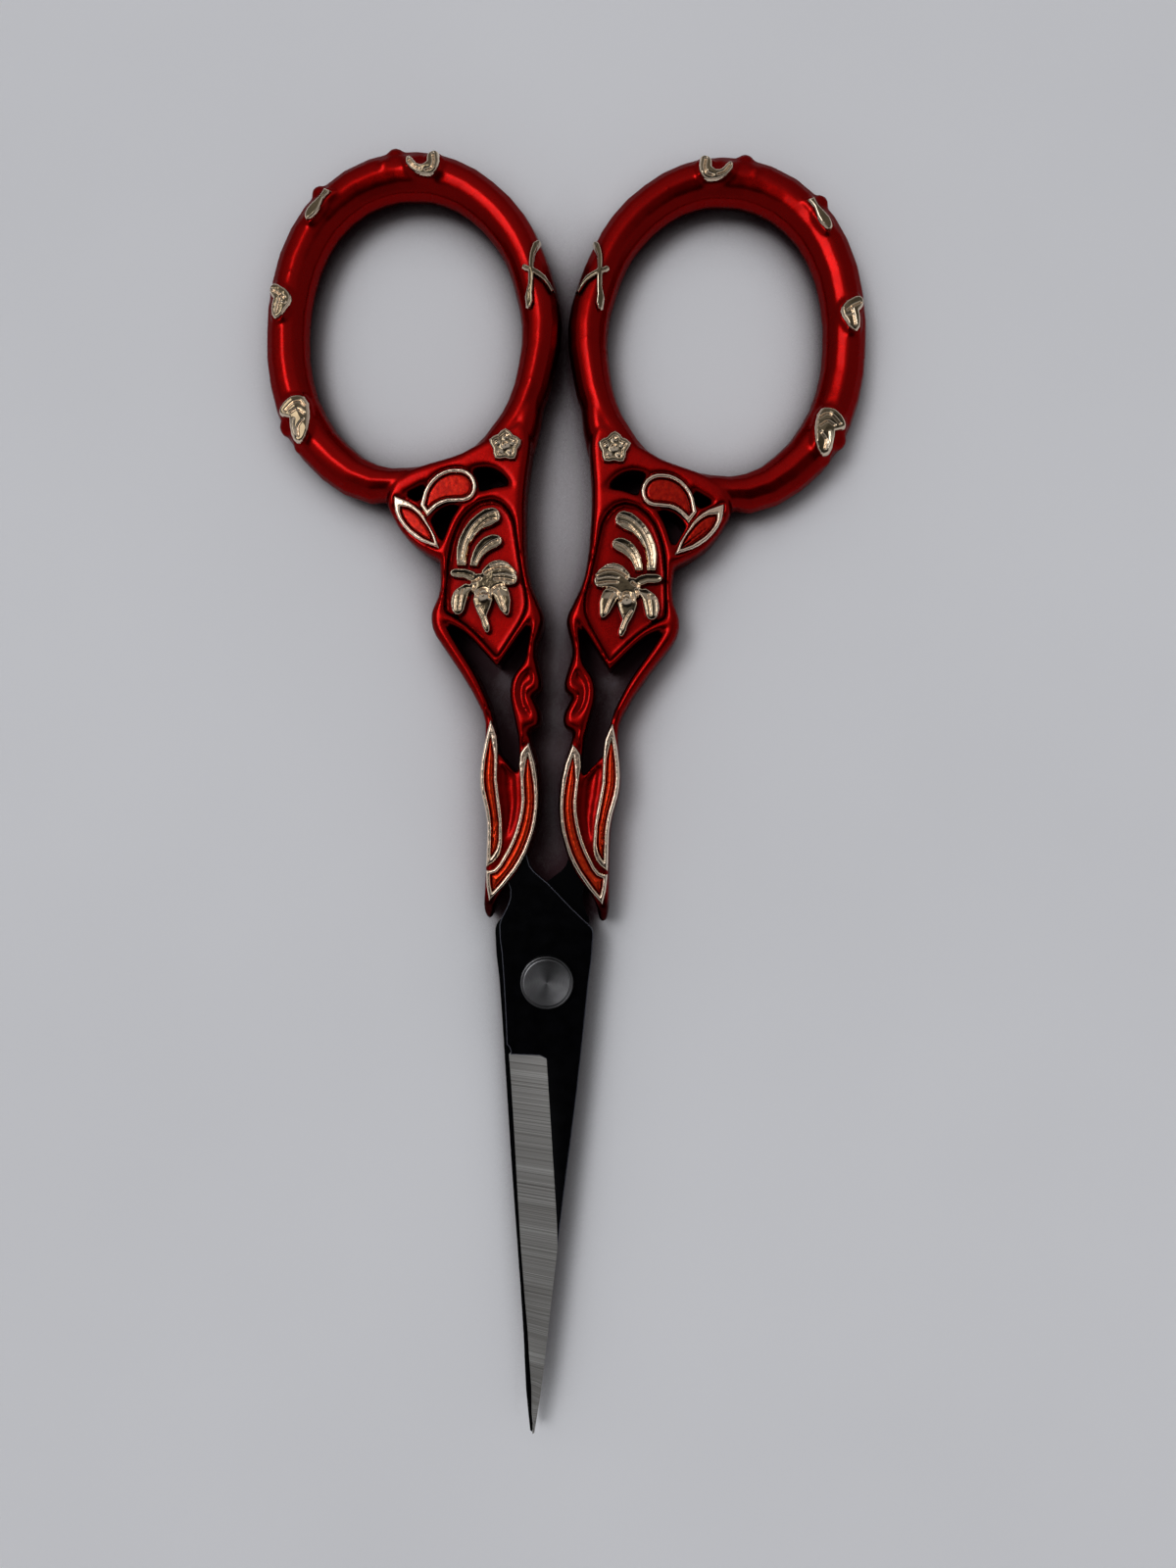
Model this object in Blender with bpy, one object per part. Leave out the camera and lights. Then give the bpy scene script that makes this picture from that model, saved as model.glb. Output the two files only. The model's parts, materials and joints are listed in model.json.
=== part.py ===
"""Embroidery scissors: two openwork handles, two blades and the rivet they turn on.

The scissors lie flat. Z is up, Y runs from the tips to the finger rings and X
to the right. The origin is on the pivot axis, in the plane the handles rest on.
Outlines are (out, along) in millimetres: out is the distance from the middle
line of the scissors, the same for both handles, and along is Y.
"""

import math

import bmesh
import bpy
from mathutils import Matrix, Vector

MM = 0.001

# Overall: the middle line of the handles passes a little beside the rivet.
MIDDLE_X = -0.32
HANDLE_THICK = 4.4
MID_Z = HANDLE_THICK / 2
RING_INSET = 0.08
RING_HALF = MID_Z - RING_INSET

# Cutters start this far below the back of the handles and end this far above.
BELOW = -1.0
ABOVE = HANDLE_THICK + 1.6

# Blades, rivet and the running gaps between them.
BLADE_THICK = 1.4
RUN_GAP = 0.1
SEAT_GAP = 0.05
SHARP_LAND = 0.16
TIP_THICK = 0.75
SPINE_CHAMFER = 0.22
HEAD_RADIUS = 2.36
HEAD_RISE = 0.78
BACK_RADIUS = 2.1
SHANK_RADIUS = 1.2
HOLE_RADIUS = SHANK_RADIUS + SEAT_GAP

LOWER_TOP = MID_Z - RUN_GAP / 2
LOWER_BOTTOM = LOWER_TOP - BLADE_THICK
UPPER_BOTTOM = MID_Z + RUN_GAP / 2
UPPER_TOP = UPPER_BOTTOM + BLADE_THICK

# Relief: the cells' floor, the gold rims and the fills in them.
CELL_SEAT = 4.02
RIM_TOP = 4.5
FILL_TOP = 4.28
RELIEF_GAP = 0.03
PANEL_FLOOR = 3.75
BETWEEN_FLOOR = 3.8
BUD_FLOOR = 4.1
PETAL_TOP = 4.62
PAD_RISE = 0.2
BADGE_RISE = 0.5
BADGE_FROM = MID_Z + 0.5
PAD_WIDER = 0.2
RIM_ROUND = 0.12
FILL_CROWN = 0.12
FILL_SLOPE = 0.28

# Rounded edges of the cast handles: (height, growth of the outline there).
BACK_ROUND = 0.45
TOP_ROUND = 0.6
BODY_LAYERS = [
    (0, -BACK_ROUND),
    (0.5, -0.1),
    (MID_Z, 0),
    (HANDLE_THICK - 0.8, -0.07),
    (HANDLE_THICK - 0.25, -0.28),
    (HANDLE_THICK, -TOP_ROUND),
]
HOLE_LAYERS = [
    (BELOW, 0.25),
    (0, 0.25),
    (0.3, 0),
    (HANDLE_THICK - 0.45, 0),
    (HANDLE_THICK - 0.13, 0.15),
    (HANDLE_THICK, 0.4),
    (ABOVE, 0.4),
]
PANEL_LAYERS = [
    (PANEL_FLOOR, 0),
    (HANDLE_THICK - 0.12, 0.1),
    (HANDLE_THICK, 0.3),
    (ABOVE, 0.3),
]
BUD_LAYERS = [
    (BUD_FLOOR, -0.12),
    (HANDLE_THICK, 0.1),
    (ABOVE, 0.1),
]
# A grown outline stops short of meeting itself, and its corners of long spikes.
ROOM = 0.8
MITRE = 1.5
SLACK = 0.03

SIDES = {"left": -1, "right": 1}

RED = (0.55, 0.012, 0.012)
FILL_RED = (0.72, 0.035, 0.015)
GOLD = (0.72, 0.56, 0.38)
BLACK = (0.012, 0.012, 0.014)
STEEL = (0.42, 0.42, 0.43)

# Finger ring: (out, along, radius of the round bar).
RING = [
    (13.7, 72.0, 2.12),
    (17.4, 71.4, 2.1),
    (20.9, 69.2, 2.05),
    (23.3, 66.0, 2.03),
    (24.7, 61.7, 1.98),
    (25.05, 57.2, 1.95),
    (24.6, 53.1, 1.98),
    (23.1, 49.3, 2.03),
    (20.4, 46.1, 1.98),
    (16.8, 44.2, 1.8),
    (13.4, 44.5, 1.25),
    (10.0, 45.4, 1.0),
    (7.2, 46.7, 1.2),
    (5.0, 48.8, 1.55),
    (3.4, 51.4, 1.66),
    (2.45, 54.9, 1.72),
    (2.08, 58.8, 1.86),
    (2.75, 62.0, 1.84),
    (3.85, 65.0, 1.8),
    (5.35, 67.5, 1.92),
    (7.8, 69.9, 1.96),
    (10.7, 71.5, 2.05),
]

# Where the ring's bar flows into the body, on the side of the middle line.
NECK = (3.35, 49.7, MID_Z)
NECK_RADII = (1.45, 5.0, RING_HALF)
NECK_LEAN = 9.7
NECK_SIDES = 20

# A third number 0 makes a point a corner.
BODY = [
    (15.35, 43.1),
    (15.4, 42.1),
    (14.95, 41.2),
    (14.0, 39.7),
    (12.5, 38.3),
    (10.55, 37.2, 0),
    (10.4, 35.6),
    (10.55, 34.1),
    (11.1, 32.7),
    (11.0, 31.2),
    (10.2, 29.8),
    (9.0, 28.2),
    (7.75, 26.4),
    (6.7, 24.6),
    (6.0, 23.0),
    (6.05, 21.0),
    (6.32, 18.4),
    (6.18, 16.7),
    (5.72, 15.0),
    (5.53, 13.4),
    (5.55, 10.0),
    (5.6, 7.4),
    (5.5, 5.9),
    (5.12, 5.35),
    (4.75, 5.7),
    (4.5, 6.7),
    (3.95, 7.85),
    (3.05, 8.9),
    (2.05, 10.45),
    (1.32, 12.3),
    (0.87, 14.3),
    (0.76, 16.6),
    (1.1, 19.3),
    (1.7, 21.3),
    (1.9, 22.3, 0),
    (1.1, 22.7),
    (0.95, 23.6),
    (1.2, 24.5),
    (1.7, 25.4, 0),
    (1.0, 26.0),
    (1.05, 27.2),
    (1.55, 29.0),
    (1.5, 30.2),
    (0.95, 32.1),
    (1.4, 33.6),
    (2.15, 35.2),
    (2.6, 37.2),
    (2.85, 40.5),
    (2.85, 44.0),
    (2.6, 46.6),
    (2.5, 48.0),
    (2.8, 49.2),
    (3.5, 49.9),
    (4.4, 49.6),
    (5.4, 48.9),
    (7.0, 48.0),
    (8.9, 46.9),
    (10.9, 46.2),
    (13.0, 45.5),
    (14.1, 44.9),
    (15.0, 44.1),
]

HOLE_A = [(13.7, 42.95, 0), (12.8, 43.45), (11.9, 43.95, 0), (11.9, 43.4), (12.5, 42.4, 0)]
HOLE_B = [
    (7.75, 45.25, 0), (6.5, 45.5), (5.2, 45.0), (4.4, 44.05, 0), (5.6, 43.9),
    (7.05, 43.45, 0), (7.2, 44.3),
]
HOLE_C = [
    (8.75, 42.2, 0), (9.8, 42.1), (10.7, 41.6), (11.3, 40.7, 0), (10.8, 39.8),
    (10.3, 38.8, 0), (9.95, 39.9), (9.4, 41.2),
]
HOLE_Y = [
    (9.75, 31.6, 0),
    (8.7, 29.9),
    (7.1, 27.5),
    (6.1, 25.6),
    (5.45, 24.0),
    (5.05, 22.4),
    (4.75, 20.4, 0),
    (2.85, 18.2, 0),
    (2.8, 20.2),
    (2.95, 21.8),
    (3.55, 24.2),
    (3.8, 25.9),
    (3.45, 27.3),
    (2.7, 28.3),
    (2.35, 29.8),
    (2.15, 32.0, 0),
    (3.1, 30.7),
    (5.0, 27.85, 0),
    (6.4, 29.3),
    (8.1, 30.9),
]

PANEL = [
    (5.9, 42.65),
    (7.9, 41.7),
    (9.0, 39.9),
    (9.5, 38.0),
    (9.7, 35.5),
    (9.8, 33.6),
    (9.75, 32.65, 0),
    (8.7, 32.1),
    (7.2, 31.0),
    (5.0, 28.75, 0),
    (3.7, 30.9),
    (2.75, 32.7),
    (2.6, 33.7),
    (2.85, 35.3),
    (3.35, 37.5),
    (3.75, 39.8),
    (4.4, 41.7),
]

BUD = [
    (2.05, 27.8, 0),
    (2.6, 27.4),
    (3.0, 26.7),
    (3.15, 25.7),
    (2.85, 24.5),
    (2.3, 23.8),
    (1.75, 23.5, 0),
    (2.3, 24.5),
    (2.5, 25.5),
    (2.4, 26.3),
    (1.85, 26.6),
    (1.8, 27.2),
]

# Gold-rimmed cells.
ALMOND = [
    (14.6, 42.75, 0), (14.45, 41.4), (13.7, 40.1), (12.6, 39.1), (11.4, 38.5),
    (10.45, 38.2, 0), (10.85, 39.3), (11.55, 40.5), (12.3, 41.5), (13.3, 42.25),
]
CURL = [
    (12.25, 42.0, 0),
    (11.95, 43.2),
    (11.3, 44.3),
    (10.3, 45.05),
    (9.2, 45.3),
    (8.1, 45.1),
    (7.4, 44.3),
    (7.35, 43.3),
    (7.9, 42.55),
    (8.8, 42.35),
    (9.8, 42.3),
    (10.8, 41.8),
    (11.55, 41.0, 0),
]
OUTER_LEAF = [
    (5.4, 23.1, 0),
    (5.85, 21.0),
    (6.15, 18.4),
    (6.0, 16.7),
    (5.55, 15.0),
    (5.35, 13.4),
    (5.35, 10.15, 0),
    (4.75, 10.55),
    (4.15, 11.5),
    (4.05, 13.1),
    (4.2, 15.0),
    (4.65, 17.8),
    (4.7, 20.0),
    (4.8, 21.7),
]
INNER_LEAF = [
    (1.95, 21.2, 0),
    (1.35, 19.4),
    (1.0, 16.6),
    (1.1, 14.3),
    (1.55, 12.4),
    (2.3, 10.6),
    (3.3, 9.1),
    (4.25, 7.9),
    (5.0, 7.15, 0),
    (5.25, 8.4),
    (5.35, 9.75, 0),
    (4.65, 9.95),
    (3.95, 10.95),
    (3.2, 12.5),
    (2.65, 14.4),
    (2.45, 16.2),
    (2.6, 18.1),
    (2.65, 20.3),
]
ALMOND_CELL = [
    (14.05, 41.85, 0),
    (14.02, 41.3),
    (13.45, 40.3),
    (12.45, 39.4),
    (11.4, 38.82),
    (10.9, 38.68, 0),
    (11.2, 39.5),
    (11.8, 40.45),
    (12.5, 41.25),
    (13.3, 41.75),
]
CURL_CELL = [
    (11.85, 42.0, 0),
    (11.63, 43.05),
    (11.06, 44.06),
    (10.2, 44.73),
    (9.2, 44.97),
    (8.3, 44.8),
    (7.75, 44.2),
    (7.68, 43.4),
    (8.07, 42.88),
    (8.82, 42.68),
    (9.88, 42.63),
    (10.93, 42.17),
    (11.55, 41.6, 0),
]
OUTER_CELL = [
    (5.37, 21.9, 0),
    (5.55, 20.8),
    (5.82, 18.4),
    (5.67, 16.85),
    (5.23, 15.1),
    (5.02, 13.4),
    (5.02, 10.9, 0),
    (4.5, 11.75),
    (4.34, 13.1),
    (4.5, 15.0),
    (4.94, 17.75),
    (5.0, 20.0),
]
INNER_CELL = [
    (2.02, 20.3, 0),
    (1.66, 18.8),
    (1.32, 16.5),
    (1.42, 14.4),
    (1.86, 12.55),
    (2.6, 10.8),
    (3.58, 9.3),
    (4.78, 7.85, 0),
    (4.95, 8.7),
    (5.0, 9.45, 0),
    (4.46, 9.66),
    (3.68, 10.8),
    (2.92, 12.35),
    (2.35, 14.25),
    (2.13, 16.1),
    (2.28, 18.1),
]
BETWEEN = [
    (4.3, 19.5, 0), (3.15, 18.3, 0), (2.95, 16.2), (3.05, 14.6), (3.5, 13.1),
    (3.85, 12.5, 0), (3.85, 15.0), (4.2, 17.6),
]

# Lily on the panel.
LONG_PETAL = [
    (5.8, 42.0),
    (5.1, 41.55),
    (5.1, 40.7),
    (6.6, 39.95),
    (7.7, 38.6),
    (7.95, 36.65, 0),
    (8.85, 36.65, 0),
    (8.95, 38.2),
    (8.4, 39.9),
    (7.2, 41.35),
]
SHORT_PETAL = [
    (5.45, 39.6),
    (4.85, 39.3),
    (4.85, 38.65),
    (5.7, 38.15),
    (6.5, 37.5),
    (6.95, 36.6, 0),
    (7.75, 36.65, 0),
    (7.5, 37.9),
    (6.85, 39.0),
    (6.1, 39.5),
]
FLOWER_HEAD = [
    (5.2, 34.7),
    (5.6, 35.6),
    (6.5, 36.15),
    (7.4, 35.8),
    (7.6, 34.8),
    (7.0, 33.9),
    (5.9, 33.8),
]
FLOWER_BAR = [
    (6.9, 35.9),
    (7.5, 36.35),
    (8.5, 36.5),
    (9.3, 36.35),
    (9.45, 35.95),
    (9.1, 35.6),
    (8.2, 35.55),
    (7.2, 35.3),
]
FLOWER_LEAVES = [
    (3.3, 35.75),
    (3.75, 36.7),
    (4.6, 37.3),
    (5.5, 37.3),
    (6.3, 36.75),
    (6.7, 35.9),
    (5.9, 35.3),
    (4.7, 35.1),
    (3.6, 35.1),
]
FLOWER_PETALS = [
    [
        (4.5, 35.15), (3.95, 34.4), (3.85, 33.1), (4.05, 32.35), (4.5, 32.4),
        (5.2, 33.4), (5.6, 34.5), (5.4, 35.2),
    ],
    [
        (7.3, 35.1), (7.6, 34.2), (7.85, 33.1), (8.2, 32.35), (8.85, 32.3),
        (9.25, 32.95), (9.25, 33.9), (8.8, 34.7),
    ],
    [
        (5.6, 34.3), (5.6, 33.1), (5.9, 32.3), (5.6, 31.4), (5.75, 30.75),
        (6.15, 30.8), (6.6, 31.9), (7.15, 33.0), (7.2, 34.3),
    ],
]

# Badges on the finger ring.
SPRIG = [
    (11.5, 72.9),
    (11.65, 73.35),
    (12.2, 73.35),
    (12.6, 72.9),
    (12.6, 72.35, 0),
    (13.0, 72.05),
    (13.45, 72.15),
    (13.85, 72.6),
    (14.25, 72.85),
    (14.5, 72.5),
    (14.25, 71.85),
    (13.6, 71.35),
    (12.6, 71.1),
    (11.9, 71.25),
    (11.5, 71.9),
]
SEED_LEAF = [
    (21.0, 69.55, 0),
    (21.65, 69.85, 0),
    (22.05, 69.15),
    (22.75, 68.45),
    (23.3, 67.6),
    (23.15, 66.95),
    (22.6, 67.15),
    (21.95, 67.95),
    (21.6, 68.85),
    (21.25, 69.25),
]
HEART = [
    (25.75, 61.3),
    (26.25, 61.1),
    (26.3, 60.55),
    (25.9, 60.0, 0),
    (26.05, 59.1),
    (25.8, 58.2),
    (25.35, 58.2),
    (24.7, 59.0),
    (24.25, 59.9),
    (24.45, 60.5),
    (25.1, 61.0),
]
KIDNEY = [
    (22.85, 51.35),
    (23.5, 51.45),
    (24.3, 51.1),
    (25.0, 50.3),
    (25.1, 49.75),
    (24.55, 49.5),
    (24.15, 49.4, 0),
    (24.1, 48.5),
    (23.8, 47.5),
    (23.15, 47.2),
    (22.6, 47.7),
    (22.35, 49.0),
    (22.4, 50.3),
]
STEMS = [
    (2.35, 65.9),
    (2.7, 65.75),
    (3.12, 64.9),
    (3.27, 63.9),
    (3.27, 63.25, 0),
    (3.75, 63.45),
    (3.88, 63.15),
    (3.3, 62.8, 0),
    (3.3, 61.7),
    (3.42, 59.75),
    (3.0, 59.65),
    (2.85, 60.9),
    (2.78, 62.6, 0),
    (1.95, 62.1),
    (1.2, 61.15, 0),
    (0.9, 61.3, 0),
    (1.75, 62.55),
    (2.78, 63.15, 0),
    (2.72, 64.4),
    (2.3, 65.5),
]

# Rosette: its lobes, the recess within its rim and the boss in the recess.
ROSE_CENTRE = (4.8, 47.35)
ROSE_RADIUS = 1.56
ROSE_LOBES = 5
ROSE_WAVE = 0.11
ROSE_TOP = 5.0
ROSE_RIM = 0.42
ROSE_RECESS = 0.28
BOSS_RADIUS = 0.34
BOSS_SIDES = 12

# Lumps cast on the ring beside the badges: (out, along, height of the middle, radius).
LUMPS = [
    (15.6, 73.2, 2.9, 1.0),
    (16.4, 72.1, 3.6, 0.8),
    (22.3, 69.85, 3.0, 0.85),
    (24.45, 49.0, 2.9, 1.0),
    (23.3, 47.35, 2.8, 0.85),
]

# Blades: the top blade is the left handle's, the lower one the right handle's.
UPPER_OUTLINE = [
    (1.6, 10.3, 0),
    (1.2, 9.8),
    (-0.1, 8.75),
    (-2.2, 6.7),
    (-3.6, 5.45),
    (-4.2, 4.85),
    (-4.3, 4.1),
    (-4.0, 0.0),
    (-3.3, -9.6),
    (-2.4, -19.0),
    (-1.7, -27.2),
    (-1.1, -34.6),
    (-0.5, -40.7, 0),
    (-0.34, -40.8, 0),
    (0.0, -37.1),
    (0.5, -31.9),
    (1.4, -24.0),
    (2.1, -16.1),
    (2.7, -9.6),
    (3.0, -6.9, 0),
    (2.7, -6.35),
    (3.1, -5.7, 0),
    (3.4, -1.8),
    (3.8, 2.4),
    (4.1, 4.9),
    (3.9, 5.6),
    (3.35, 6.8),
    (3.2, 8.1),
]
LOWER_OUTLINE = [
    (1.6, 10.3, 0),
    (1.2, 9.8),
    (-0.1, 8.75),
    (-2.2, 6.7),
    (-3.9, 5.5),
    (-4.5, 4.8),
    (-4.6, 4.0),
    (-4.1, -0.1),
    (-3.35, -7.6),
    (-2.5, -16.5),
    (-1.7, -24.2),
    (-0.9, -32.1),
    (-0.5, -37.3),
    (-0.1, -40.9, 0),
    (0.08, -41.0, 0),
    (0.35, -37.3),
    (0.9, -32.1),
    (1.6, -24.2),
    (2.2, -16.5),
    (2.75, -9.6),
    (3.0, -6.9, 0),
    (2.7, -6.35),
    (3.1, -5.7, 0),
    (3.4, -1.8),
    (3.7, 2.4),
    (3.95, 4.9),
    (3.8, 5.6),
    (3.3, 6.8),
    (3.2, 8.1),
]
TANG = [
    (3.75, 9.3), (4.4, 11.0), (4.5, 14.0), (4.2, 16.6, 0), (3.1, 16.6, 0),
    (2.65, 14.0), (2.1, 12.0),
]
TANG_THICK = 1.0
TANG_FROM = 11.35
TANG_END = 20
TANG_SPAN = (-5, 9)

# Ground bevel: (along, the cutting edge's out, the spine's out) down the blade.
UPPER_BEVEL = [
    (-6.6, 3.0, -3.6), (-7.3, 2.95, -3.5), (-14.0, 2.3, -2.9), (-21.5, 1.6, -2.2),
    (-27.0, 1.05, -1.75), (-32.0, 0.5, -1.35), (-37.0, 0.0, -0.9),
    (-40.0, -0.25, -0.6), (-41.5, -0.4, -0.45),
]
LOWER_BEVEL = [
    (-6.6, 3.0, -3.5), (-7.3, 2.95, -3.4), (-14.0, 2.4, -2.75), (-21.5, 1.8, -1.98),
    (-27.0, 1.35, -1.45), (-32.0, 0.9, -0.9), (-37.0, 0.37, -0.53),
    (-40.0, 0.15, -0.2), (-41.5, 0.05, -0.05),
]
BEVEL_WIDE = 3.47
BEVEL_RUNS_OUT = -21.5
BEVEL_HEEL = 0.6
BEVEL_OVER = 0.3
BEVEL_BEYOND = 1.5
TIP = -41.5
SPINE_WITHIN = -0.9

# The handle's front end slopes down to the blade.
NOSE_SPAN = (2.5, 7.5)
NOSE_BACK = 6.9
NOSE_FRONT = 5.0
NOSE_DROP = 0.3
NOSE_LEFT = 0.25


def clear_scene():
    for obj in list(bpy.data.objects):
        bpy.data.objects.remove(obj, do_unlink=True)


clear_scene()
PARTS = bpy.data.collections.new("embroidery_scissors")
bpy.context.scene.collection.children.link(PARTS)
CUTTERS = bpy.data.collections.new("cutters")
bpy.context.scene.collection.children.link(CUTTERS)


def place(out, side):
    """X in millimetres of a distance out from the middle line."""
    return MIDDLE_X + side * out


def material(name, colour, metallic, roughness):
    made = bpy.data.materials.new(name)
    made.use_nodes = True
    made.diffuse_color = (*colour, 1.0)
    shader = made.node_tree.nodes["Principled BSDF"]
    shader.inputs["Base Color"].default_value = (*colour, 1.0)
    shader.inputs["Metallic"].default_value = metallic
    shader.inputs["Roughness"].default_value = roughness
    return made


def mesh_of(curve_object):
    """The curve's mesh as its own object, with the joints of its caps closed."""
    bpy.context.view_layer.update()
    graph = bpy.context.evaluated_depsgraph_get()
    mesh = bpy.data.meshes.new_from_object(curve_object.evaluated_get(graph))
    name = curve_object.name
    matrix = curve_object.matrix_world.copy()
    bpy.data.objects.remove(curve_object, do_unlink=True)
    mesh.transform(matrix)
    cleaned = bmesh.new()
    cleaned.from_mesh(mesh)
    bmesh.ops.remove_doubles(cleaned, verts=cleaned.verts, dist=0.00002)
    bmesh.ops.dissolve_degenerate(cleaned, dist=0.000005, edges=cleaned.edges)
    bmesh.ops.recalc_face_normals(cleaned, faces=cleaned.faces)
    if cleaned.calc_volume(signed=True) < 0:
        bmesh.ops.reverse_faces(cleaned, faces=cleaned.faces)
    cleaned.to_mesh(mesh)
    cleaned.free()
    made = bpy.data.objects.new(name, mesh)
    CUTTERS.objects.link(made)
    made.hide_render = True
    made.display_type = "WIRE"
    return made


def spline_through(curve, points, side, steps):
    """A closed spline through the points; a third value 0 makes a corner."""
    spline = curve.splines.new("BEZIER")
    spline.bezier_points.add(len(points) - 1)
    for knot, point in zip(spline.bezier_points, points):
        knot.co = (place(point[0], side) * MM, point[1] * MM, 0)
        kind = "VECTOR" if len(point) > 2 else "AUTO"
        knot.handle_left_type = kind
        knot.handle_right_type = kind
    spline.use_cyclic_u = True
    spline.resolution_u = steps


def prism(name, outline, side, low, high, grow=0.0, steps=3):
    """A solid on an outline between two heights, grown by an amount."""
    curve = bpy.data.curves.new(name, "CURVE")
    curve.dimensions = "2D"
    curve.fill_mode = "BOTH"
    curve.extrude = (high - low) / 2 * MM
    curve.offset = grow * MM
    spline_through(curve, outline, side, steps)
    made = bpy.data.objects.new(name, curve)
    CUTTERS.objects.link(made)
    made.location.z = (low + high) / 2 * MM
    return mesh_of(made)


def sampled(outline, side, steps):
    """The outline's points, anticlockwise, without those on straight stretches."""
    curve = bpy.data.curves.new("outline", "CURVE")
    curve.dimensions = "2D"
    curve.fill_mode = "NONE"
    spline_through(curve, outline, side, steps)
    holder = bpy.data.objects.new("outline", curve)
    CUTTERS.objects.link(holder)
    bpy.context.view_layer.update()
    graph = bpy.context.evaluated_depsgraph_get()
    mesh = bpy.data.meshes.new_from_object(holder.evaluated_get(graph))
    points = [vert.co.xy / MM for vert in mesh.vertices]
    bpy.data.objects.remove(holder, do_unlink=True)
    bpy.data.meshes.remove(mesh)
    kept = [points[0]]
    for point, following in zip(points[1:], points[2:] + points[:1]):
        chord = (following - kept[-1]).normalized()
        if abs(chord.cross(point - kept[-1])) > SLACK:
            kept.append(point)
    turning = sum(one.cross(two) for one, two in zip(kept, kept[1:] + kept[:1]))
    return kept if turning > 0 else kept[::-1]


def grown(points, amount):
    """The outline moved out by an amount, or in where that is negative."""
    count = len(points)
    outward = math.copysign(1, amount)
    moved = []
    for k, point in enumerate(points):
        before = (point - points[k - 1]).normalized()
        after = (points[(k + 1) % count] - point).normalized()
        bisector = (before + after).normalized()
        normal = Vector((bisector.y, -bisector.x)) * outward
        square = bisector.dot(before)
        reach = abs(amount) * min(MITRE, 1 / max(square, 1 / MITRE))
        for m, other in enumerate(points):
            if min((m - k) % count, (k - m) % count) > 1:
                nearing = (other - point).dot(normal)
                if nearing > 0:
                    reach = min(reach, ROOM * (other - point).length_squared / (2 * nearing))
        moved.append(point + normal * reach)
    return moved


def loft(name, outline, side, layers, steps=3):
    """A solid through copies of an outline, each at its (height, growth)."""
    base = sampled(outline, side, steps)
    built = bmesh.new()
    rings = []
    for height, growth in layers:
        ring = [built.verts.new((*point * MM, height * MM)) for point in grown(base, growth)]
        rings.append(ring)
    for lower, upper in zip(rings, rings[1:]):
        for k in range(len(base)):
            built.faces.new((lower[k - 1], lower[k], upper[k], upper[k - 1]))
    built.faces.new(rings[0])
    built.faces.new(rings[-1])
    bmesh.ops.recalc_face_normals(built, faces=built.faces)
    bmesh.ops.triangulate(built, faces=built.faces)
    mesh = bpy.data.meshes.new(name)
    built.to_mesh(mesh)
    built.free()
    made = bpy.data.objects.new(name, mesh)
    CUTTERS.objects.link(made)
    made.hide_render = True
    made.display_type = "WIRE"
    return made


def tube(name, path, side, grow=0.0, steps=2, around=4):
    """A closed bar along (out, along, half width) points at mid height.

    Its section is drawn out to the same height all the way round.
    """
    curve = bpy.data.curves.new(name, "CURVE")
    curve.dimensions = "3D"
    curve.bevel_depth = MM
    curve.bevel_resolution = around
    spline_through(curve, [point[:2] for point in path], side, steps)
    for knot, point in zip(curve.splines[0].bezier_points, path):
        knot.radius = point[2] + grow
        knot.co.z = MID_Z * MM
        knot.handle_left.z = MID_Z * MM
        knot.handle_right.z = MID_Z * MM
    made = bpy.data.objects.new(name, curve)
    CUTTERS.objects.link(made)
    made = mesh_of(made)
    span = 2 * (around + 2)
    points = made.data.vertices
    for start in range(0, len(points), span):
        station = [points[k] for k in range(start, start + span)]
        tall = max(abs(vert.co.z / MM - MID_Z) for vert in station)
        for vert in station:
            vert.co.z = (MID_Z + (vert.co.z / MM - MID_Z) / tall * (RING_HALF + grow)) * MM
    return made


def combine(target, other, operation):
    """Applies an exact Boolean and removes the other object."""
    modifier = target.modifiers.new(operation.lower(), "BOOLEAN")
    modifier.operation = operation
    modifier.solver = "EXACT"
    modifier.object = other
    bpy.context.view_layer.update()
    graph = bpy.context.evaluated_depsgraph_get()
    mesh = bpy.data.meshes.new_from_object(target.evaluated_get(graph))
    target.modifiers.clear()
    target.data = mesh
    bpy.data.objects.remove(other, do_unlink=True)
    return target


def union(target, other):
    return combine(target, other, "UNION")


def cut(target, other):
    return combine(target, other, "DIFFERENCE")


def common(target, other):
    return combine(target, other, "INTERSECT")


def node(obj, name, mat, parent, smooth_angle=35):
    """Makes the finished solid a named node of the assembly."""
    obj.name = name
    obj.data.name = name
    CUTTERS.objects.unlink(obj)
    PARTS.objects.link(obj)
    obj.hide_render = False
    obj.display_type = "TEXTURED"
    obj.data.materials.clear()
    obj.data.materials.append(mat)
    obj.parent = parent
    for polygon in obj.data.polygons:
        polygon.use_smooth = True
    obj.data.set_sharp_from_angle(angle=math.radians(smooth_angle))
    return obj


def wedge(name, sections):
    """A solid lofted through four-cornered sections, given in millimetres."""
    built = bmesh.new()
    rings = [[built.verts.new(Vector(corner) * MM) for corner in section] for section in sections]
    for one, two in zip(rings, rings[1:]):
        for k in range(4):
            built.faces.new((one[k], one[(k + 1) % 4], two[(k + 1) % 4], two[k]))
    built.faces.new(rings[0])
    built.faces.new(rings[-1])
    bmesh.ops.recalc_face_normals(built, faces=built.faces)
    mesh = bpy.data.meshes.new(name)
    built.to_mesh(mesh)
    built.free()
    made = bpy.data.objects.new(name, mesh)
    CUTTERS.objects.link(made)
    made.hide_render = True
    return made


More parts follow.
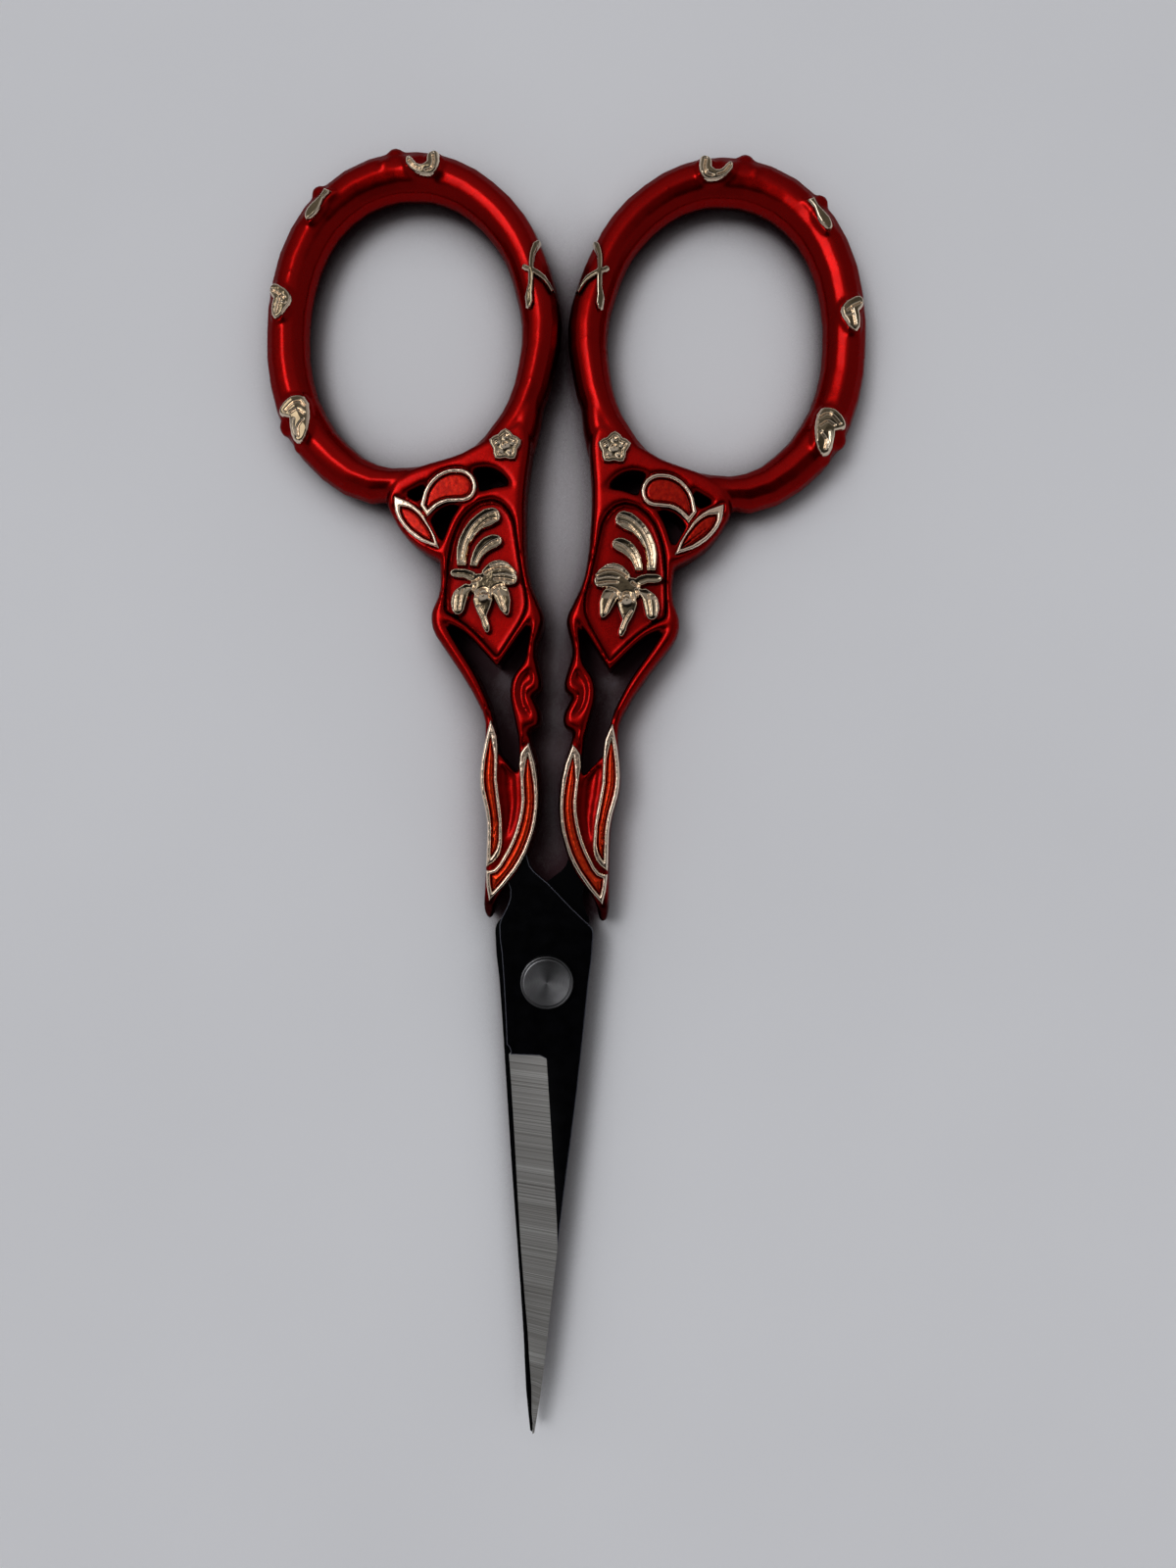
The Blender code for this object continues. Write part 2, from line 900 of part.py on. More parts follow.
def turned(name, profile, sides=40):
    """A solid of revolution about the pivot from (radius, height) points."""
    built = bmesh.new()
    made_verts = [built.verts.new((radius * MM, 0, height * MM)) for radius, height in profile]
    edges = [built.edges.new(pair) for pair in zip(made_verts, made_verts[1:])]
    bmesh.ops.spin(
        built,
        geom=made_verts + edges,
        cent=(0, 0, 0),
        axis=(0, 0, 1),
        angle=math.tau,
        steps=sides,
        use_merge=True,
    )
    bmesh.ops.remove_doubles(built, verts=built.verts, dist=0.000001)
    bmesh.ops.recalc_face_normals(built, faces=built.faces)
    if built.calc_volume(signed=True) < 0:
        bmesh.ops.reverse_faces(built, faces=built.faces)
    mesh = bpy.data.meshes.new(name)
    built.to_mesh(mesh)
    built.free()
    made = bpy.data.objects.new(name, mesh)
    CUTTERS.objects.link(made)
    made.hide_render = True
    return made


def ball(name, centre, radii, side, lean=0.0, sides=10):
    """A ball drawn out along its axes, for what swells out of the ring.

    lean turns its long axis about Z, towards the middle line at its far end.
    """
    built = bmesh.new()
    out, along, height = centre
    at = Matrix.LocRotScale(
        Vector((place(out, side), along, height)) * MM,
        Matrix.Rotation(side * math.radians(lean), 3, "Z"),
        Vector(radii) * MM,
    )
    bmesh.ops.create_uvsphere(built, u_segments=sides, v_segments=sides - 4, radius=1, matrix=at)
    mesh = bpy.data.meshes.new(name)
    built.to_mesh(mesh)
    built.free()
    made = bpy.data.objects.new(name, mesh)
    CUTTERS.objects.link(made)
    made.hide_render = True
    return made


def chamfer_spine(blank, side):
    """Takes the sharp edge off the blade's back, all along its spine."""
    built = bmesh.new()
    built.from_mesh(blank.data)
    top = [face for face in built.faces if face.normal.z > 0.99]
    bmesh.ops.dissolve_faces(built, faces=top, use_verts=False)
    spine = []
    for edge in built.edges:
        on_top = min(vert.co.z for vert in edge.verts) > (BLADE_THICK - 0.01) * MM
        out = max(side * (vert.co.x / MM - MIDDLE_X) for vert in edge.verts)
        if on_top and out < SPINE_WITHIN:
            spine.append(edge)
    bmesh.ops.bevel(
        built,
        geom=spine,
        offset=SPINE_CHAMFER * MM,
        segments=1,
        affect="EDGES",
        clamp_overlap=True,
    )
    bmesh.ops.triangulate(built, faces=built.faces)
    built.to_mesh(blank.data)
    built.free()


def bevel_cutter(bevel, side):
    """What is ground off a blade, which is thinner towards its tip."""
    sections = []
    over = BLADE_THICK + BEVEL_OVER
    for along, edge_out, spine_out in bevel:
        wide = min(BEVEL_WIDE, edge_out - spine_out)
        worn = max(0.0, (BEVEL_RUNS_OUT - along) / (BEVEL_RUNS_OUT - TIP))
        thick = BLADE_THICK + (TIP_THICK - BLADE_THICK) * worn
        slope = (thick - SHARP_LAND) / wide
        reach = (over - SHARP_LAND) / slope
        top = over
        if not sections:
            reach = BEVEL_WIDE - BEVEL_HEEL
            top = SHARP_LAND + reach * slope
        sections.append(
            [
                (place(edge_out + BEVEL_BEYOND, side), along, SHARP_LAND - BEVEL_BEYOND * slope),
                (place(edge_out - reach, side), along, top),
                (place(edge_out - reach, side), along, ABOVE),
                (place(edge_out + BEVEL_BEYOND, side), along, ABOVE),
            ]
        )
    return wedge("bevel_cutter", sections)


def tang_step(name, side, start, near, far):
    """A block over the tang, from where the blade steps down to its thickness."""
    corners = [(start, near), (TANG_END, near), (TANG_END, far), (start, far)]
    return wedge(name, [[(place(out, side), along, z) for along, z in corners] for out in TANG_SPAN])


def blade_solid(name, outline, bevel, side, inner_z, outward):
    """A blade: chamfered spine, ground bevel, pivot hole and tang.

    inner_z is the face the blades meet on; outward is 1 for the top blade and
    -1 for the lower one. It is built with that face at height zero.
    """
    blank = prism(name, outline + TANG, side, 0, BLADE_THICK, steps=2)
    chamfer_spine(blank, side)
    cut(blank, bevel_cutter(bevel, side))
    cut(blank, tang_step("tang_cutter", side, TANG_FROM, TANG_THICK, ABOVE))
    bore = [(0, BELOW), (HOLE_RADIUS, BELOW), (HOLE_RADIUS, ABOVE), (0, ABOVE)]
    cut(blank, turned("hole_cutter", bore))
    for vert in blank.data.vertices:
        vert.co.z = inner_z * MM + outward * vert.co.z
    if outward < 0:
        blank.data.flip_normals()
    return blank


def slot_solid(outline, side, inner_z, outward):
    """The room a handle leaves for its blade: the blade's outline with a gap."""
    faces = sorted((inner_z - outward * SEAT_GAP, inner_z + outward * (BLADE_THICK + SEAT_GAP)))
    slot = prism("slot", outline + TANG, side, *faces, grow=SEAT_GAP, steps=2)
    near = inner_z + outward * (TANG_THICK + SEAT_GAP)
    far = inner_z + outward * (BLADE_THICK + 1)
    return cut(slot, tang_step("slot_step", side, TANG_FROM + SEAT_GAP, near, far))


def nose_cutter(side):
    """Slopes the front end of a handle down to the blade."""
    corners = [
        (NOSE_BACK, HANDLE_THICK - NOSE_DROP),
        (NOSE_FRONT, UPPER_BOTTOM + NOSE_LEFT),
        (NOSE_FRONT - 1, ABOVE),
        (NOSE_BACK, ABOVE),
    ]
    return wedge("nose_cutter", [[(place(out, side), *corner) for corner in corners] for out in NOSE_SPAN])


def handle_solid(side, slot):
    """The cast handle: openwork body, round finger ring, seats and sockets."""
    handle = loft("handle", BODY, side, BODY_LAYERS, steps=2)
    union(handle, tube("ring", RING, side))
    for outline in (SPRIG, SEED_LEAF, HEART, KIDNEY, STEMS):
        pad = prism("pad", outline, side, BADGE_FROM, ABOVE, grow=PAD_WIDER, steps=2)
        union(handle, common(pad, tube("pad_limit", RING, side, grow=PAD_RISE)))
    union(handle, ball("neck", NECK, NECK_RADII, side, NECK_LEAN, NECK_SIDES))
    for out, along, height, radius in LUMPS:
        union(handle, ball("lump", (out, along, height), (radius, radius, radius), side))
    for outline in (HOLE_A, HOLE_B, HOLE_C, HOLE_Y):
        cut(handle, loft("hole", outline, side, HOLE_LAYERS, steps=2))
    cut(handle, loft("panel", PANEL, side, PANEL_LAYERS, steps=2))
    cut(handle, loft("bud", BUD, side, BUD_LAYERS, steps=2))
    for outline, grow in ((ALMOND, 0.12), (CURL, 0.12), (OUTER_LEAF, 0.6), (INNER_LEAF, 0.6)):
        cut(handle, prism("seat", outline, side, CELL_SEAT, ABOVE, grow=grow))
    cut(handle, prism("between", BETWEEN, side, BETWEEN_FLOOR, ABOVE))
    cut(handle, nose_cutter(side))
    cut(handle, slot)
    return handle


def badge(outline, side):
    """Gilt relief that follows the round bar of the ring."""
    made = prism("badge", outline, side, BADGE_FROM, ABOVE, steps=2)
    common(made, tube("badge_top", RING, side, grow=BADGE_RISE))
    cut(made, tube("badge_seat", RING, side, grow=PAD_RISE + RELIEF_GAP))
    return made


def rim(outline, cell, side):
    """A gold wall round a cell, its top edges rounded off."""
    low = CELL_SEAT + RELIEF_GAP
    made = loft("rim", outline, side, [(low, 0), (RIM_TOP - RIM_ROUND, 0), (RIM_TOP, -RIM_ROUND)], steps=2)
    cell_layers = [(BELOW, 0), (RIM_TOP - RIM_ROUND, 0), (RIM_TOP, RIM_ROUND), (ABOVE, RIM_ROUND)]
    return cut(made, loft("rim_hole", cell, side, cell_layers, steps=2))


def fill(cell, side):
    """Enamel that fills a cell, a little higher along its middle."""
    low = CELL_SEAT + RELIEF_GAP
    layers = [(low, -RELIEF_GAP), (FILL_TOP - FILL_CROWN, -RELIEF_GAP), (FILL_TOP, -FILL_SLOPE)]
    return loft("fill", cell, side, layers, steps=2)


def relief(name, outline, side, top):
    """A petal or leaf of the lily: steep at its foot and domed above."""
    low = PANEL_FLOOR + RELIEF_GAP
    layers = [(low, 0), (top - 0.2, -0.06), (top, -0.32)]
    return loft(name, outline, side, layers, steps=2)


def lily(side):
    """The flower: a head that carries two leaves, a bar and three petals."""
    flower = relief("flower", FLOWER_HEAD, side, PETAL_TOP)
    union(flower, relief("bar", FLOWER_BAR, side, PETAL_TOP - 0.12))
    union(flower, relief("leaves", FLOWER_LEAVES, side, PETAL_TOP - 0.06))
    for petal, lower in zip(FLOWER_PETALS, (0.1, 0.16, 0.04)):
        union(flower, relief("petal", petal, side, PETAL_TOP - lower))
    return flower


def rose_outline(radius, wave):
    """A circle with a soft lobe for each petal of the rosette."""
    points = []
    for k in range(4 * ROSE_LOBES):
        angle = math.tau * k / (4 * ROSE_LOBES)
        reach = radius * (1 - wave + wave * math.cos(ROSE_LOBES * angle))
        out = ROSE_CENTRE[0] - reach * math.sin(angle)
        points.append((out, ROSE_CENTRE[1] + reach * math.cos(angle)))
    return points


def rosette(side):
    """Lobes in a raised rim, a recess within it and a boss in the recess."""
    low = HANDLE_THICK + RELIEF_GAP
    rim_layers = [(low, 0), (ROSE_TOP - 0.2, -0.03), (ROSE_TOP, -0.2)]
    rose = loft("rosette", rose_outline(ROSE_RADIUS, ROSE_WAVE), side, rim_layers, steps=1)
    recess = rose_outline(ROSE_RADIUS - ROSE_RIM, ROSE_WAVE)
    floor = ROSE_TOP - ROSE_RECESS
    cut(rose, loft("recess", recess, side, [(floor, -0.16), (ROSE_TOP, 0), (ABOVE, 0)], steps=1))
    circle = [
        (
            ROSE_CENTRE[0] + BOSS_RADIUS * math.cos(math.tau * k / BOSS_SIDES),
            ROSE_CENTRE[1] + BOSS_RADIUS * math.sin(math.tau * k / BOSS_SIDES),
        )
        for k in range(BOSS_SIDES)
    ]
    boss_layers = [(floor - 0.1, 0), (ROSE_TOP - 0.12, -0.04), (ROSE_TOP - 0.02, -0.18)]
    return union(rose, loft("boss", circle, side, boss_layers, steps=1))


def empty(name):
    made = bpy.data.objects.new(name, None)
    PARTS.objects.link(made)
    made.empty_display_size = 5 * MM
    return made


red = material("candy_red_lacquer", RED, 0.6, 0.35)
fill_red = material("red_enamel", FILL_RED, 0.2, 0.2)
gold = material("gilt", GOLD, 1.0, 0.25)
black = material("black_coating", BLACK, 0.1, 0.2)
steel = material("bare_steel", STEEL, 1.0, 0.35)

lower_half = empty("lower_half")
upper_half = empty("upper_half")

HALVES = {
    "left": (UPPER_OUTLINE, UPPER_BEVEL, UPPER_BOTTOM, 1, upper_half),
    "right": (LOWER_OUTLINE, LOWER_BEVEL, LOWER_TOP, -1, lower_half),
}

for word, side in SIDES.items():
    outline, bevel, inner_z, outward, half = HALVES[word]
    blade = blade_solid("blade", outline, bevel, side, inner_z, outward)
    handle = handle_solid(side, slot_solid(outline, side, inner_z, outward))
    node(handle, word + "_handle", red, half)
    node(blade, word + "_blade", black, half)
    for name, badge_outline in (
        ("sprig", SPRIG),
        ("seed_leaf", SEED_LEAF),
        ("heart", HEART),
        ("kidney_bud", KIDNEY),
        ("crossed_stems", STEMS),
    ):
        node(badge(badge_outline, side), word + "_" + name, gold, half)
    for name, outer, cell in (
        ("almond", ALMOND, ALMOND_CELL),
        ("curl", CURL, CURL_CELL),
        ("outer_leaf", OUTER_LEAF, OUTER_CELL),
        ("inner_leaf", INNER_LEAF, INNER_CELL),
    ):
        node(rim(outer, cell, side), word + "_" + name + "_rim", gold, half)
        node(fill(cell, side), word + "_" + name + "_enamel", fill_red, half)
    node(relief("petal", LONG_PETAL, side, PETAL_TOP), word + "_long_petal", gold, half)
    node(relief("petal", SHORT_PETAL, side, PETAL_TOP), word + "_short_petal", gold, half)
    node(lily(side), word + "_lily", gold, half)
    node(rosette(side), word + "_rosette", gold, half)

rivet = turned(
    "rivet",
    [
        (0, 0),
        (BACK_RADIUS - 0.18, 0),
        (BACK_RADIUS, 0.18),
        (BACK_RADIUS, LOWER_BOTTOM - 0.07),
        (SHANK_RADIUS, LOWER_BOTTOM - 0.07),
        (SHANK_RADIUS, UPPER_TOP + 0.07),
        (HEAD_RADIUS, UPPER_TOP + 0.07),
        (HEAD_RADIUS, UPPER_TOP + HEAD_RISE - 0.34),
        (HEAD_RADIUS - 0.14, UPPER_TOP + HEAD_RISE - 0.2),
        (HEAD_RADIUS * 0.6, UPPER_TOP + HEAD_RISE - 0.07),
        (0, UPPER_TOP + HEAD_RISE),
    ],
)
node(rivet, "pivot_rivet", steel, lower_half)
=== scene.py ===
"""Embroidery scissors on a pale floor, seen from straight above as in a photograph.

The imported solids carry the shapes. This script softens the cast handles, carves the
gilt relief and the enamel, turns the rivet's head, and adds the finishes, the floor,
the light and the camera. Lengths are in millimetres, and MM turns them into metres.
"""

import json
import math
from typing import NamedTuple

import bmesh
import bpy
import numpy as np
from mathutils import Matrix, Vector
from mathutils.bvhtree import BVHTree


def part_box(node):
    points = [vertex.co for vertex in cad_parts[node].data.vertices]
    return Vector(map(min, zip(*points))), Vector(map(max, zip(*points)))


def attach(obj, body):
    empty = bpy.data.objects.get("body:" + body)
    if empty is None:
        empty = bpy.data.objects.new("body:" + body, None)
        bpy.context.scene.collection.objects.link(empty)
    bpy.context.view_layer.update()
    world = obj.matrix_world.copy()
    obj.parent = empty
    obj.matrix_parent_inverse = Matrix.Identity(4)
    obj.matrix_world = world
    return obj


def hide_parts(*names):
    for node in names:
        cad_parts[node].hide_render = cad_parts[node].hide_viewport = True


MM = 0.001
WHITE = (1.0, 1.0, 1.0)
SHARP_ANGLE = math.radians(38)  # sharper edges stay sharp in the shading
WELD = 0.002  # vertices closer than this are joined

# Camera: the photograph's, worked out from mirrored features of the two handles.
# Its place is in millimetres, its turn in degrees and its sensor in millimetres.
CAMERA_AT = (5.86, 18.05, 108.6)
CAMERA_TURN = (-0.128, 1.522, 1.813)
FOCAL_PIXELS = 1204
LONG_SIDE_PIXELS = 1600
SENSOR = 36

# The handles' middle line, and which way each handle lies from it.
MIDDLE_X = -0.32
SIDES = {"left": -1, "right": 1}

# Lacquer on the handles: the size of the remeshed skin's cells, and how far and how
# often it is relaxed. Each handle's nose is darker as painted shade, up to a fade along Y.
SKIN_CELL = 0.18
RELAX_FACTOR = 0.5
RELAX_ROUNDS = 6
NOSE_FADE_FROM = 7.0
NOSE_FADE_TO = 8.4

# Blades, along Y from the pivot: where the bevel, the bare inner face and the ground
# tip start. A coated strip is left along the inner face's spine, which leans.
BEVEL_FROM = -6.2
BARE_FROM = -6.6
GROUND_TIP_FROM = -26
COATED_STRIP = 1.2
SPINE_LEAN = 0.095
SOFT_LIMIT = 0.1

# Blade tips: the thickness is evened from EVEN_FROM on, and the tips are brought
# together from CLOSE_FROM on. Both end at BEYOND_TIP.
BEYOND_TIP = -41.5
CLOSE_FROM = -37.0
EVEN_FROM = -33.0
THICK_AT_TIP = 0.6
THICK_AT_START = 1.16
UNLIMITED = 5.0  # thicker than any blade, so it limits nothing

# Carving: how deep a relief's foot goes below its outline, how far from the edge the
# carving fades in, and the slopes between which the gilt goes from its darker flat colour,
# painted shade, to its lighter slope colour, painted highlight.
FOOT = 0.04
FADE_IN = 0.1
SHADED_SLOPE = 0.16
LIT_SLOPE = 0.66

# Lines in the bud recess: their height and the radius of the wire.
BUD_LINE_Z = 4.14
BUD_LINE_RADIUS = 0.08

# Rivet: radii of the head, the shank and the back end, as packed.
HEAD_RADIUS = 2.36
SHANK_RADIUS = 1.2
BACK_RADIUS = 2.1
TURNED_STEPS = 96

# Floor: the length of its sides, and how far it lies below the scissors.
FLOOR_SIZE = 1600
FLOOR_DROP = 0.05

# Carving on the gilt reliefs: (height, half width, path of (out, along) points),
# with a negative height for a groove.
CARVING = {
    "long_petal": [
        (-0.13, 0.07, [(5.35, 41.55), (6.4, 41.2), (7.5, 40.2), (8.2, 38.7), (8.45, 37.2)]),
        (-0.16, 0.08, [(5.35, 40.95), (6.2, 40.75), (7.2, 39.75), (7.85, 38.4), (8.1, 36.9)]),
    ],
    "short_petal": [
        (-0.14, 0.08, [(5.15, 39.1), (5.9, 38.8), (6.7, 38.0), (7.15, 37.0)]),
    ],
    "lily": [
        (-0.2, 0.09, [(3.35, 36.0), (4.15, 36.55), (5.1, 36.65), (5.9, 36.35), (6.25, 36.05)]),
        (-0.1, 0.06, [(4.1, 36.95), (5.0, 37.0), (5.8, 36.75)]),
        (-0.18, 0.08, [(3.7, 35.45), (4.5, 35.6), (5.4, 35.6)]),
        (-0.08, 0.06, [(3.7, 35.9), (4.6, 36.1), (5.5, 36.0)]),
        (-0.2, 0.1, [(4.3, 35.1), (5.1, 35.0), (5.6, 34.6), (5.65, 34.0)]),
        (-0.22, 0.1, [(6.75, 35.6), (7.3, 35.3), (8.0, 35.25), (8.6, 35.0)]),
        (-0.2, 0.1, [(7.15, 35.0), (7.35, 34.3), (7.5, 33.6)]),
        (-0.16, 0.08, [(5.1, 34.6), (4.75, 33.8), (4.45, 32.9)]),
        (-0.16, 0.07, [(8.2, 34.6), (8.35, 33.7), (8.45, 32.8)]),
        (-0.12, 0.07, [(8.75, 34.4), (8.9, 33.6), (8.9, 32.8)]),
        (-0.16, 0.08, [(6.75, 33.1), (6.3, 32.4), (5.95, 31.5)]),
        (-0.16, 0.1, [(5.75, 33.9), (5.9, 34.5), (6.3, 34.75), (6.75, 34.55), (6.9, 34.0)]),
        (0.34, 0.3, [(6.3, 34.05), (6.34, 34.0)]),
    ],
    "kidney_bud": [
        (-0.2, 0.09, [(22.75, 50.5), (23.3, 50.85), (23.9, 50.6), (24.5, 50.0)]),
        (-0.18, 0.09, [(22.8, 49.8), (23.4, 50.15), (24.0, 49.85)]),
        (-0.16, 0.08, [(22.85, 49.2), (23.3, 48.6), (23.25, 47.8)]),
        (0.1, 0.12, [(23.7, 49.2), (23.75, 48.5), (23.55, 47.8)]),
    ],
    "heart": [
        (-0.18, 0.08, [(26.0, 60.65), (25.4, 60.35), (24.85, 59.95)]),
        (-0.18, 0.08, [(25.2, 60.1), (25.4, 59.4), (25.55, 58.7)]),
        (-0.12, 0.06, [(24.75, 59.5), (25.25, 59.55)]),
    ],
    "sprig": [
        (-0.2, 0.09, [(14.2, 72.45), (13.75, 71.85), (13.15, 71.6)]),
        (-0.2, 0.09, [(12.05, 72.95), (11.95, 72.2), (12.15, 71.7), (12.65, 71.5)]),
    ],
}
# Fine raised lines on the lacquer inside the bud recess.
BUD_LINES = [
    [(2.05, 27.8), (2.5, 27.45), (2.9, 26.8), (3.1, 26.0), (3.05, 25.1), (2.8, 24.4), (2.3, 23.8)],
    [(2.05, 27.75), (1.8, 27.2), (1.75, 26.75), (1.95, 26.45), (2.6, 26.2)],
]


class Blade(NamedTuple):
    """What differs between the blades; ways are 1 or -1, lengths in millimetres."""

    place: str
    up: int  # the way its bevel faces
    edge_side: int  # the way its cutting edge lies along X
    spine_offset: float  # how far its spine lies from X = 0 at the pivot
    inner_z: float  # the height of the face that meets the other blade
    tip_shift: float  # how far its very tip moves along X


BLADES = {
    "left_blade": Blade("upper", 1, -1, 3.88, 2.25, -0.13),
    "right_blade": Blade("lower", -1, 1, 4.48, 2.15, 0.1),
}

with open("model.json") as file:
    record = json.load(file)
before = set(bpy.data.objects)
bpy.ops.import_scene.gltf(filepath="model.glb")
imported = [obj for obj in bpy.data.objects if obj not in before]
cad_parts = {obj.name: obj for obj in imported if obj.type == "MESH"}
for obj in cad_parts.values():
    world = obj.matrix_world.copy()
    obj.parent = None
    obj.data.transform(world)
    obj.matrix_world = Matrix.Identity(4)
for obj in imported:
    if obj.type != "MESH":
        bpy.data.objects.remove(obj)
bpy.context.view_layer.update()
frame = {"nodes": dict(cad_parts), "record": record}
nodes = frame["nodes"]


def shader_material(name, **settings):
    """A material with one Principled shader; settings name its inputs."""
    made = bpy.data.materials.new(name)
    made.use_nodes = True
    shader = made.node_tree.nodes["Principled BSDF"]
    for key, value in settings.items():
        shader.inputs[key.replace("_", " ")].default_value = value
    return made


def map_range(tree, source, span, onto):
    """A node that maps source from one (low, high) pair onto another and clamps it."""
    node = tree.nodes.new("ShaderNodeMapRange")
    node.inputs["From Min"].default_value, node.inputs["From Max"].default_value = span
    node.inputs["To Min"].default_value, node.inputs["To Max"].default_value = onto
    tree.links.new(source, node.inputs["Value"])
    return node


def calculated(tree, operation, one, two):
    """What a math node makes of two sockets."""
    node = tree.nodes.new("ShaderNodeMath")
    node.operation = operation
    tree.links.new(one, node.inputs[0])
    tree.links.new(two, node.inputs[1])
    return node.outputs["Value"]


class Tree:
    """Short ways to add and join the nodes of one material."""

    def __init__(self, made):
        self.nodes = made.node_tree.nodes
        self.links = made.node_tree.links
        self.shader = self.nodes["Principled BSDF"]
        place = self.nodes.new("ShaderNodeTexCoord")
        scale = self.nodes.new("ShaderNodeMapping")
        scale.inputs["Scale"].default_value = (1 / MM, 1 / MM, 1 / MM)
        self.join(place.outputs["Object"], scale.inputs["Vector"])
        self.millimetres = scale.outputs["Vector"]

    def join(self, source, target):
        self.links.new(source, target)

    def noise(self, scale, detail):
        node = self.nodes.new("ShaderNodeTexNoise")
        node.inputs["Scale"].default_value = scale
        node.inputs["Detail"].default_value = detail
        self.join(self.millimetres, node.inputs["Vector"])
        return node.outputs["Fac"]

    def along(self):
        """How far along the scissors a point is, in millimetres."""
        node = self.nodes.new("ShaderNodeSeparateXYZ")
        self.join(self.millimetres, node.inputs["Vector"])
        return node.outputs["Y"]

    def lines(self, scale, detail, roughness):
        """Noise in straight lines across the scissors."""
        node = self.nodes.new("ShaderNodeTexNoise")
        node.noise_dimensions = "1D"
        node.inputs["Scale"].default_value = scale
        node.inputs["Detail"].default_value = detail
        node.inputs["Roughness"].default_value = roughness
        self.join(self.along(), node.inputs["W"])
        return node.outputs["Fac"]

    def ramp(self, source, low, high, first, last):
        """Maps source from low..high to the colours or numbers first..last."""
        if isinstance(first, tuple):
            node = self.nodes.new("ShaderNodeValToRGB")
            node.color_ramp.elements[0].position = low
            node.color_ramp.elements[0].color = (*first, 1)
            node.color_ramp.elements[1].position = high
            node.color_ramp.elements[1].color = (*last, 1)
            self.join(source, node.inputs["Fac"])
            return node.outputs["Color"]
        return map_range(self, source, (low, high), (first, last)).outputs["Result"]

    def mix(self, share, one, two, blend="MIX"):
        """Two colours mixed; each value is a number, a colour or a socket."""
        node = self.nodes.new("ShaderNodeMix")
        node.data_type = "RGBA"
        node.blend_type = blend
        factor, colour_a, colour_b, colour_out = 0, 6, 7, 2
        for value, key in ((share, factor), (one, colour_a), (two, colour_b)):
            if isinstance(value, (int, float)):
                node.inputs[key].default_value = value
            elif isinstance(value, tuple):
                node.inputs[key].default_value = (*value, 1)
            else:
                self.join(value, node.inputs[key])
        return node.outputs[colour_out]

    def times(self, one, two):
        """One colour multiplied by another."""
        return self.mix(1.0, one, two, "MULTIPLY")

    def brushed(self):
        """Fine light and dark lines straight across a ground blade."""
        fine = self.ramp(self.lines(6, 3, 0.8), 0.32, 0.68, (0.2, 0.195, 0.18), (0.5, 0.49, 0.465))
        wide = self.ramp(self.lines(0.55, 3, 0.6), 0.35, 0.72, (0.7, 0.69, 0.68), WHITE)
        return self.times(fine, wide)

    def hollows(self, reach):
        """Near 0 in corners and recesses, 1 on open faces."""
        node = self.nodes.new("ShaderNodeAmbientOcclusion")
        node.samples = 8
        node.inputs["Distance"].default_value = reach * MM
        return node.outputs["AO"]

    def bump(self, height, depth, soft_edge=None):
        """A bump of a depth, over edges rounded to a radius where one is given."""
        node = self.nodes.new("ShaderNodeBump")
        node.inputs["Distance"].default_value = depth * MM
        self.join(height, node.inputs["Height"])
        if soft_edge:
            self.join(self.soft_edges(soft_edge), node.inputs["Normal"])
        self.join(node.outputs["Normal"], self.shader.inputs["Normal"])

    def soft_edges(self, radius):
        """The normal as if every edge were rounded to a radius."""
        node = self.nodes.new("ShaderNodeBevel")
        node.samples = 6
        node.inputs["Radius"].default_value = radius * MM
        return node.outputs["Normal"]

    def highlit_edges(self, radius):
        """1 along convex and concave edges of a solid, 0 on its open faces."""
        shape = self.nodes.new("ShaderNodeNewGeometry")
        turned = self.nodes.new("ShaderNodeVectorMath")
        turned.operation = "DOT_PRODUCT"
        self.join(shape.outputs["Normal"], turned.inputs[0])
        self.join(self.soft_edges(radius), turned.inputs[1])
        return self.ramp(turned.outputs["Value"], 0.9, 0.995, 1.0, 0.0)

    def colour(self, source):
        self.join(source, self.shader.inputs["Base Color"])

    def roughness(self, source):
        self.join(source, self.shader.inputs["Roughness"])


def red_lacquer():
    """Candy red: a clear red coat over bright metal, darker in its hollows and near the floor,
    partly from lacquer pooled there and partly as painted shade, and darker at each nose as painted
    shade.
    """
    made = shader_material(
        "candy red lacquer",
        Metallic=1.0,
        Roughness=0.27,
        Specular_Tint=(0.38, 0.008, 0.008, 1.0),
        Coat_Weight=0.38,
        Coat_IOR=1.15,
        Coat_Roughness=0.1,
    )
    tree = Tree(made)
    flake = tree.ramp(tree.noise(14, 3), 0.35, 0.7, (0.2, 0.0009, 0.0009), (0.26, 0.0025, 0.0012))
    # Darker in hollows and near the floor, from ambient occlusion: partly deeper pooled lacquer,
    # partly painted shade.
    pooling_and_shade = tree.ramp(tree.hollows(2.2), 0.3, 0.9, (0.22, 0.1, 0.12), WHITE)
    # Painted shade on each handle's sloping nose, fading in along Y.
    front = tree.ramp(tree.along(), NOSE_FADE_FROM, NOSE_FADE_TO, 0.0, 1.0)
    nose = tree.ramp(front, 0.0, 1.0, (0.16, 0.1, 0.12), WHITE)
    tree.colour(tree.times(tree.times(flake, pooling_and_shade), nose))
    tree.roughness(tree.ramp(tree.noise(0.9, 4), 0.3, 0.75, 0.25, 0.34))
    tree.bump(tree.noise(2.2, 3), 0.008, soft_edge=0.1)
    return made


